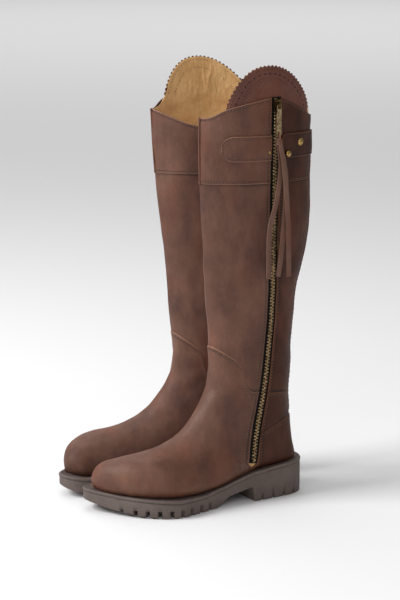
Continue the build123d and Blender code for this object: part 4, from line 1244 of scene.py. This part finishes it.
def straps(side, thread):
    strap("front_strap_leather", side, thread, share_at(116.0), share_at(zip_u(400.0) + SLOT_HALF + 0.4),
          STRAP_LOW, STRAP_HIGH, 13.8, 0.1, ["front_strap"])
    cross_seam = share_at(103.0)
    seam_heights = np.linspace(STRAP_LOW + 2.4, STRAP_HIGH - 2.4, 30)
    across = np.array([(crease_row(z), cross_seam) for z in seam_heights])
    stitch(thread, skin(across, -STRAP_THICK, side), outward(across))

    tab = strap("rear_strap_leather", side, thread, share_at(48.4), 1.0,
                STRAP_LOW + 2.0, STRAP_HIGH + 1.0, 5.0, 0.3, ["rear_strap", "strap_tab"], None)
    forward = Vector(world(((0.0, 1.0, 0.0),), side)[0]) - Vector(world(((0.0, 0.0, 0.0),), side)[0])
    forward.normalize()
    button_ts = locate((BUTTON,))
    button_at = skin(button_ts, 0.0, side)[0]
    button_out = outward(button_ts)[0]
    start = world((button_at,), side)[0]
    axis = world((button_at + button_out,), side)[0] - start
    pierce(tab, start, axis, 0.0041)
    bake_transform(tab)


# height above the leather and radius
DOME_PROFILE = (
    (1.6, 4.3), (2.3, 4.4), (2.6, 4.2), (2.7, 3.5), (3.1, 3.4), (3.7, 2.8), (4.15, 1.8), (4.3, 0.7),
    (4.3, 0.02),
)
BUTTON_PROFILE = (
    (-0.4, 2.0), (3.1, 2.0), (3.3, 3.5), (3.9, 3.65), (4.7, 3.3), (5.3, 2.4), (5.65, 1.2), (5.75, 0.02),
)
SMALL_PROFILE = ((1.8, 1.8), (2.3, 1.85), (2.8, 1.5), (3.1, 0.8), (3.2, 0.02))


def studs_of(side):
    studs = Shape()
    for place, profile in ((DOME, DOME_PROFILE), (BUTTON, BUTTON_PROFILE), (SMALL_STUD, SMALL_PROFILE)):
        ts = locate((place,))
        studs.lathe(profile, skin(ts, 0.0, side)[0], outward(ts)[0])
    finish_piece("studs", side, studs, STUDS, stands_for=["strap_studs"])


def crease_piping(side):
    """The raised line down the band's front, with a bar tack at each end."""
    crease = Shape()
    rows = np.linspace(crease_row(433.6), crease_row(BAND_SEAM - 0.5), 80)
    line = surface(np.stack([rows, np.zeros(80)], -1), 0.25)
    crease.tube(line, np.full(80, CREASE_RADIUS), 10)
    for height in (431.5, 362.0):
        for offset in (-0.9, 0.0, 0.9):
            spot = surface(np.array([[crease_row(height + offset), 0.0]]), -0.75)[0]
            tack = [(d, -0.25 * abs(d), 0.0) for d in (-2.2, -1.2, 0.0, 1.2, 2.2)]
            crease.tube(spot + np.array(tack), 0.4, 6)
    finish_piece("crease_piping", side, crease, UPPER)


# ---- zip ---------------------------------------------------------------------------------
HINGE_ALONG = 8.0  # from the top of the teeth down to the puller's hinge
HINGE_OUT = 5.5  # from the tooth line out to the puller's hinge
TOOTH_DEPTH = 0.75
TOOTH_STEP = 1.0


def own(point, side):
    """From the shared frame in metres to a boot's own (v, u, z) in mm."""
    turn = -MIRROR[side] * SPLAY
    x = (point[0] - HEELS[side][0]) / MM
    y = (point[1] - HEELS[side][1]) / MM
    return np.array((
        (x * math.cos(turn) - y * math.sin(turn)) * MIRROR[side],
        -(x * math.sin(turn) + y * math.cos(turn)),
        point[2] / MM,
    ))


def own_direction(direction, side):
    origin = np.array((*HEELS[side], 0.0))
    return own(origin + np.asarray(direction) * MM, side)


def zip_path(side):
    """Points down the middle of the teeth, and the direction out of the leather at each."""
    hinge = own(joint_named(f"{side}_puller_hinge")["pos_m"], side)
    down = own_direction(joint_named(f"{side}_zip_slide")["axis"], side)
    across = own_direction(joint_named(f"{side}_puller_hinge")["axis"], side)
    across *= np.sign(across[1])
    out = np.cross(across, down)
    out *= np.sign(out[0])
    top = hinge - down * HINGE_ALONG - out * HINGE_OUT
    steps = np.linspace(0.0, (top[2] - STRAIGHT_END) / -down[2], 110)
    straight = top + steps[:, None] * down
    z = np.linspace(STRAIGHT_END, 43.0, 130)[1:]
    ts = locate(np.stack([zip_u(z), z], -1))
    fade = (1 - ease((STRAIGHT_END - z) / 60.0))[:, None]
    bend = surface(locate(((zip_u(STRAIGHT_END), STRAIGHT_END),)), TOOTH_DEPTH)[0]
    lower = surface(ts, TOOTH_DEPTH) + (straight[-1] - bend) * fade
    normals = outward(ts) * (1 - fade) + out * fade
    normals /= np.linalg.norm(normals, axis=1)[:, None]
    line = np.vstack([straight, lower])
    normals = np.vstack([np.broadcast_to(out, straight.shape), normals])
    measured = lengths(line)
    wanted = np.linspace(0.0, measured[-1], 420)
    return [np.stack([np.interp(wanted, measured, c) for c in a.T], -1) for a in (line, normals)]


def zip_fastener(side):
    line, normals = zip_path(side)
    way = np.gradient(line, axis=0)
    way /= np.linalg.norm(way, axis=1)[:, None]
    ahead = np.cross(way, normals)
    ahead /= np.linalg.norm(ahead, axis=1)[:, None]
    ahead *= np.sign(ahead[:, 1])[:, None]
    travelled = lengths(line)

    for sign, name in ((1.0, "front"), (-1.0, "rear")):
        offsets = np.array((0.35, 0.6, 1.0, 1.5, 2.6, 4.2, 6.0, 8.2))
        heights = np.array((-0.25, 0.12, 0.2, -0.1, -0.3, -0.45, -0.75, -1.3))
        narrow = (slot_half(line[:, 2]) / SLOT_HALF)[:, None]
        sideways = sign * ahead[:, None] * (offsets[None] * narrow)[..., None]
        outer = line[:, None] + sideways + normals[:, None] * heights[None, :, None]
        inner = outer - normals[:, None] * 0.7
        shape = Shape()
        shape.slab(outer, inner)
        finish_piece(f"tape_{name}", side, shape, TAPE, stands_for=[f"zip_tape_{name}"])

        teeth = Shape()
        first = 2.0 if sign > 0 else 2.0 + TOOTH_PITCH / 2
        for place in np.arange(first, travelled[-1] - 2.0, TOOTH_PITCH):
            spot, up, side_way, run = [
                np.array([np.interp(place, travelled, c) for c in a.T]) for a in (line, normals, ahead, way)
            ]
            centre = spot + sign * side_way * TOOTH_STEP + up * 0.72
            teeth.block(centre, (run, side_way, up), (1.7, 2.9, 1.45), 0.35)
            teeth.block(centre + sign * side_way * 1.0 - up * 0.3, (run, side_way, up), (2.1, 1.3, 1.2), 0.25)
        if sign > 0:
            end_stop = (way[-3], ahead[-3], normals[-3])
            teeth.block(line[-3] + normals[-3] * 0.6, end_stop, (1.2, 2.4, 1.2), 0.3)
        finish_piece(f"teeth_{name}", side, teeth, TEETH,
                     stands_for=[f"zip_teeth_{name}"], smooth=False)


# ---- tassel ------------------------------------------------------------------------------
THONGS = (  # (down, forward) from the puller's hole
    ((9.0, 0.0), (37.0, -4.5), (76.0, 1.5), (109.0, 10.0), (161.0, 11.0)),
    ((9.0, 0.0), (40.0, -8.5), (77.0, -9.5), (133.0, -4.5), (159.0, 0.0)),
    ((9.0, 0.0), (43.0, -6.5), (100.0, -11.5), (160.0, -13.5)),
)
THONG_SPACING = 2.1


def tassel(side):
    hole = own(joint_named(f"{side}_tassel_swing")["pos_m"], side)
    out = own_direction(joint_named(f"{side}_tassel_swing")["axis"], side)
    out *= np.sign(out[0])
    forward = np.array((-out[1], out[0], 0.0))
    down = np.array((0.0, 0.0, -1.0))

    def place(way_down, way_forward, way_out):
        return hole + down * way_down + forward * way_forward + out * way_out

    shape = Shape()
    half_loop = ((11.0, 0.6), (8.0, 1.6), (4.0, 2.0), (1.2, 1.6), (0.1, 0.8))
    loop = [place(d, 0.0, o) for d, o in half_loop] + [place(-0.2, 0.0, 0.0)]
    loop += [place(d, 0.0, -o) for d, o in half_loop[::-1]]
    shape.tube(curve_through(loop, 40), 1.15, 10, 0.62, forward)
    turns = [
        place(7.0 + 7.5 * x, 2.6 * math.cos(6 * math.pi * x), 2.4 * math.sin(6 * math.pi * x))
        for x in np.linspace(0, 1, 60)
    ]
    shape.tube(np.array(turns), 1.25, 8, 0.8)
    rng = np.random.default_rng(5)
    for number, route in enumerate(THONGS):
        level = (number - 1) * THONG_SPACING
        flat = curve_through(route, 70)
        x = np.linspace(0, 1, 70)
        wave = 0.7 * np.sin(2 * math.pi * (1.3 * x + rng.uniform()))
        outs = level + wave * 0.5 * (1 - np.abs(2 * x - 1))
        centre = np.array([place(d, f, o) for (d, f), o in zip(flat, outs)])
        shape.tube(centre, 2.2 + 0.9 * ease(x * 7), 16, 0.27, out, 0.42)
    finish_piece("tassel_leather", side, shape, THONG, body="tassel", stands_for=["tassel"])


# ---- sole --------------------------------------------------------------------------------
WELT_HIGH = 3.6
NOTCH_IN = 14.0


def sole(side):
    line = curve_through(SOLE_EDGE, 1600, closed=True)[:-1]
    ring = np.vstack([line, line[:1]])
    travelled = lengths(ring)[:-1]
    total = lengths(ring)[-1]
    tip = int(np.argmax(line[:, 0]))

    def crossings(place):
        """How far round the outline each side reaches this u."""
        outer = int(np.argmin(np.abs(line[:tip, 0] - place)))
        inner = int(np.argmin(np.abs(line[tip:, 0] - place))) + tip
        return travelled[outer], travelled[inner]

    notches = [
        (arc, half, top, reach)
        for group, half, top, reach in ((TOE_LUGS, 2.3, 8.5, NOTCH_IN), (HEEL_LUGS, 1.6, 5.5, 12.0))
        for place in group for arc in crossings(place)
    ]
    arcs = list(np.arange(0.0, total, 0.62))
    for centre, half, _, _ in notches:
        arcs += [centre - half - 0.3, centre - half, centre + half, centre + half + 0.3]
    for place, _ in SOLE_BOTTOM[1:4]:
        arcs += crossings(place)
    arcs = np.unique(np.round(np.array(arcs) % total, 2))
    outline = np.stack([np.interp(arcs, np.append(travelled, total), column) for column in ring.T], -1)
    way = np.roll(outline, -2, axis=0) - np.roll(outline, 2, axis=0)
    way /= np.linalg.norm(way, axis=1)[:, None]
    normal = np.stack([-way[:, 1], way[:, 0]], -1)
    normal *= np.sign((normal * (outline - np.array((120.0, 0.0)))).sum(1).mean())
    inside = np.zeros(len(arcs))
    roof = np.full(len(arcs), 8.5)
    for centre, half, top, reach in notches:
        gap = np.abs((arcs - centre + total / 2) % total - total / 2)
        hit = gap <= half + 0.01
        inside[hit] = reach
        roof[gap < 7.5] = top
    u = outline[:, 0]
    top_z = np.interp(u, *np.array(SOLE_TOP).T)
    low_z = np.interp(u, *np.array(SOLE_BOTTOM).T)
    roof = np.clip(roof, low_z + 1.6, top_z - 7.0)
    inside = np.where(roof - low_z > 1.7, inside, 0.0)
    ribs = 0.28 * np.sin(2 * math.pi * arcs / 2.6) * ease((u - 150.0) / 30.0)

    def loop(offset, z):
        moved = outline + normal * np.broadcast_to(offset, u.shape)[:, None]
        return np.stack([moved[:, 1], moved[:, 0], np.broadcast_to(z, u.shape)], -1)

    def spine(z_table):
        centre_u = np.clip(u, 22.0, 236.0)
        middle = np.interp(centre_u, (22.0, 100.0, 160.0, 205.0, 236.0), (1.0, 2.5, 3.5, -1.5, -18.0))
        return np.stack([middle, centre_u, np.interp(centre_u, *np.array(z_table).T)], -1)

    def solid(loops):
        shape = Shape()
        shape.add(np.array(loops), grid_faces(len(loops), len(u)))
        return shape

    top_line = [(a, b - 1.0) for a, b in SOLE_TOP]
    lower = solid([
        spine(SOLE_BOTTOM),
        loop(-NOTCH_IN - 1.0, low_z),
        loop(-np.maximum(inside, 2.2), low_z),
        loop(-np.maximum(inside, 0.9), low_z + 0.15),
        loop(-np.maximum(inside, 0.2), low_z + 1.1),
        loop(-inside, roof - 0.15),
        loop(0.0, roof + 0.15),
        loop(0.1, (roof + top_z - WELT_HIGH) / 2),
        loop(0.0, top_z - WELT_HIGH - 0.8),
        loop(-0.2, top_z - WELT_HIGH - 0.3),
        loop(-0.9, top_z - WELT_HIGH),
        loop(-14.0, top_z - WELT_HIGH),
        spine([(a, b - WELT_HIGH) for a, b in SOLE_TOP]),
    ])
    finish_piece("sole_rubber", side, lower, RUBBER, stands_for=["outsole"])
    rim = solid([
        spine([(a, b - WELT_HIGH) for a, b in SOLE_TOP]),
        loop(-13.0, top_z - WELT_HIGH),
        loop(-0.9, top_z - WELT_HIGH + 0.05),
        loop(0.15, top_z - WELT_HIGH + 0.35),
        loop(0.5 + ribs, top_z - WELT_HIGH + 1.1),
        loop(0.55 + ribs, top_z - 1.2),
        loop(0.3 + ribs, top_z - 0.35),
        loop(-0.5 + 0.5 * ribs, top_z),
        loop(-1.6, top_z - 0.05),
        loop(-2.2, top_z - 0.7),
        loop(-12.0, top_z - 1.2),
        spine(top_line),
    ])
    finish_piece("welt_rubber", side, rim, RUBBER, stands_for=["welt"])


# ---- the whole pair ----------------------------------------------------------------------
KEPT_NODES = {
    "zip_slider": SLIDER, "zip_puller": PULLER, "footbed": TAN, "insole_board": BOARD,
    "toe_puff": STIFF, "heel_stiffener": STIFF,
}

for boot_side in SIDES:
    thread = threads[boot_side]
    side_plate(boot_side, thread)
    lining(boot_side)
    back_stay(boot_side, thread)
    straps(boot_side, thread)
    studs_of(boot_side)
    crease_piping(boot_side)
    zip_fastener(boot_side)
    tassel(boot_side)
    sole(boot_side)
    finish_piece("stitching", boot_side, thread, STITCH)
    for node, material in KEPT_NODES.items():
        part = frame["nodes"][f"{boot_side}_{node}"]
        part.data.materials.clear()
        part.data.materials.append(material)


# ---- studio ------------------------------------------------------------------------------
LENS = 120.6
CAMERA_PITCH = 10.67
CAMERA_FROM_HEEL = (2.0072, -1.0344, 0.6426)
AWAY = (-0.9100, 0.4147, 0.0)  # the camera's way over the floor
RIGHT = (0.4147, 0.9100, 0.0)  # and its right hand


# name, place (right, away, height), size, power and the place it is aimed at
LAMPS = (
    ("key", -2.1, -0.5, 1.9, 1.3, 76.0, (0.0, 0.0, 0.25)),
    ("front", -0.4, -2.2, 1.3, 1.4, 8.0, (0.0, 0.0, 0.25)),
    ("top", -0.3, 0.4, 2.4, 1.8, 14.0, (0.0, 0.0, 0.2)),
    ("floor_behind", 0.0, 11.0, 5.0, 14.0, 560.0, (0.0, 11.0, 0.0)),
    ("floor_before", 0.0, -11.0, 5.0, 14.0, 380.0, (0.0, -11.0, 0.0)),
)


def studio():
    """Wide pale floor, soft lights and the camera."""
    reach = 40.0
    mesh = bpy.data.meshes.new("studio_floor")
    corners = [(-reach, -reach, 0.0), (reach, -reach, 0.0), (reach, reach, 0.0), (-reach, reach, 0.0)]
    mesh.from_pydata(corners, [], [(0, 1, 2, 3)])
    paper = bpy.data.materials.new("studio_paper")
    paper.use_nodes = True
    paper.node_tree.nodes["Principled BSDF"].inputs["Base Color"].default_value = (0.80, 0.80, 0.81, 1)
    paper.node_tree.nodes["Principled BSDF"].inputs["Roughness"].default_value = 0.9
    mesh.materials.append(paper)
    floor = bpy.data.objects.new("studio_floor", mesh)
    bpy.context.scene.collection.objects.link(floor)


    def spot(right, away, height):
        return Vector(RIGHT) * right + Vector(AWAY) * away + Vector((0, 0, height))

    for name, right, away, height, size, power, aim in LAMPS:
        data = bpy.data.lights.new(name, "AREA")
        data.size = size
        data.energy = power
        lamp = bpy.data.objects.new(name, data)
        lamp.location = spot(right, away, height)
        lamp.rotation_mode = "QUATERNION"
        lamp.rotation_quaternion = (spot(*aim) - lamp.location).to_track_quat("-Z", "Y")
        bpy.context.scene.collection.objects.link(lamp)

    sky = bpy.data.worlds.new("studio_air")
    sky.use_nodes = True
    sky.node_tree.nodes["Background"].inputs["Color"].default_value = (1.0, 0.985, 0.965, 1)
    sky.node_tree.nodes["Background"].inputs["Strength"].default_value = 0.26
    bpy.context.scene.world = sky

    data = bpy.data.cameras.new("camera")
    data.sensor_width = 36.0
    data.lens = LENS
    camera = bpy.data.objects.new("camera", data)
    camera.location = Vector((HEELS["left"][0], HEELS["left"][1], 0.0)) + Vector(CAMERA_FROM_HEEL)
    camera.rotation_mode = "QUATERNION"
    pitch = math.radians(CAMERA_PITCH)
    ahead = Vector(AWAY) * math.cos(pitch) - Vector((0, 0, math.sin(pitch)))
    camera.rotation_quaternion = ahead.to_track_quat("-Z", "Y")
    bpy.context.scene.collection.objects.link(camera)
    bpy.context.scene.camera = camera


bpy.context.scene.view_settings.view_transform = "Standard"
studio()
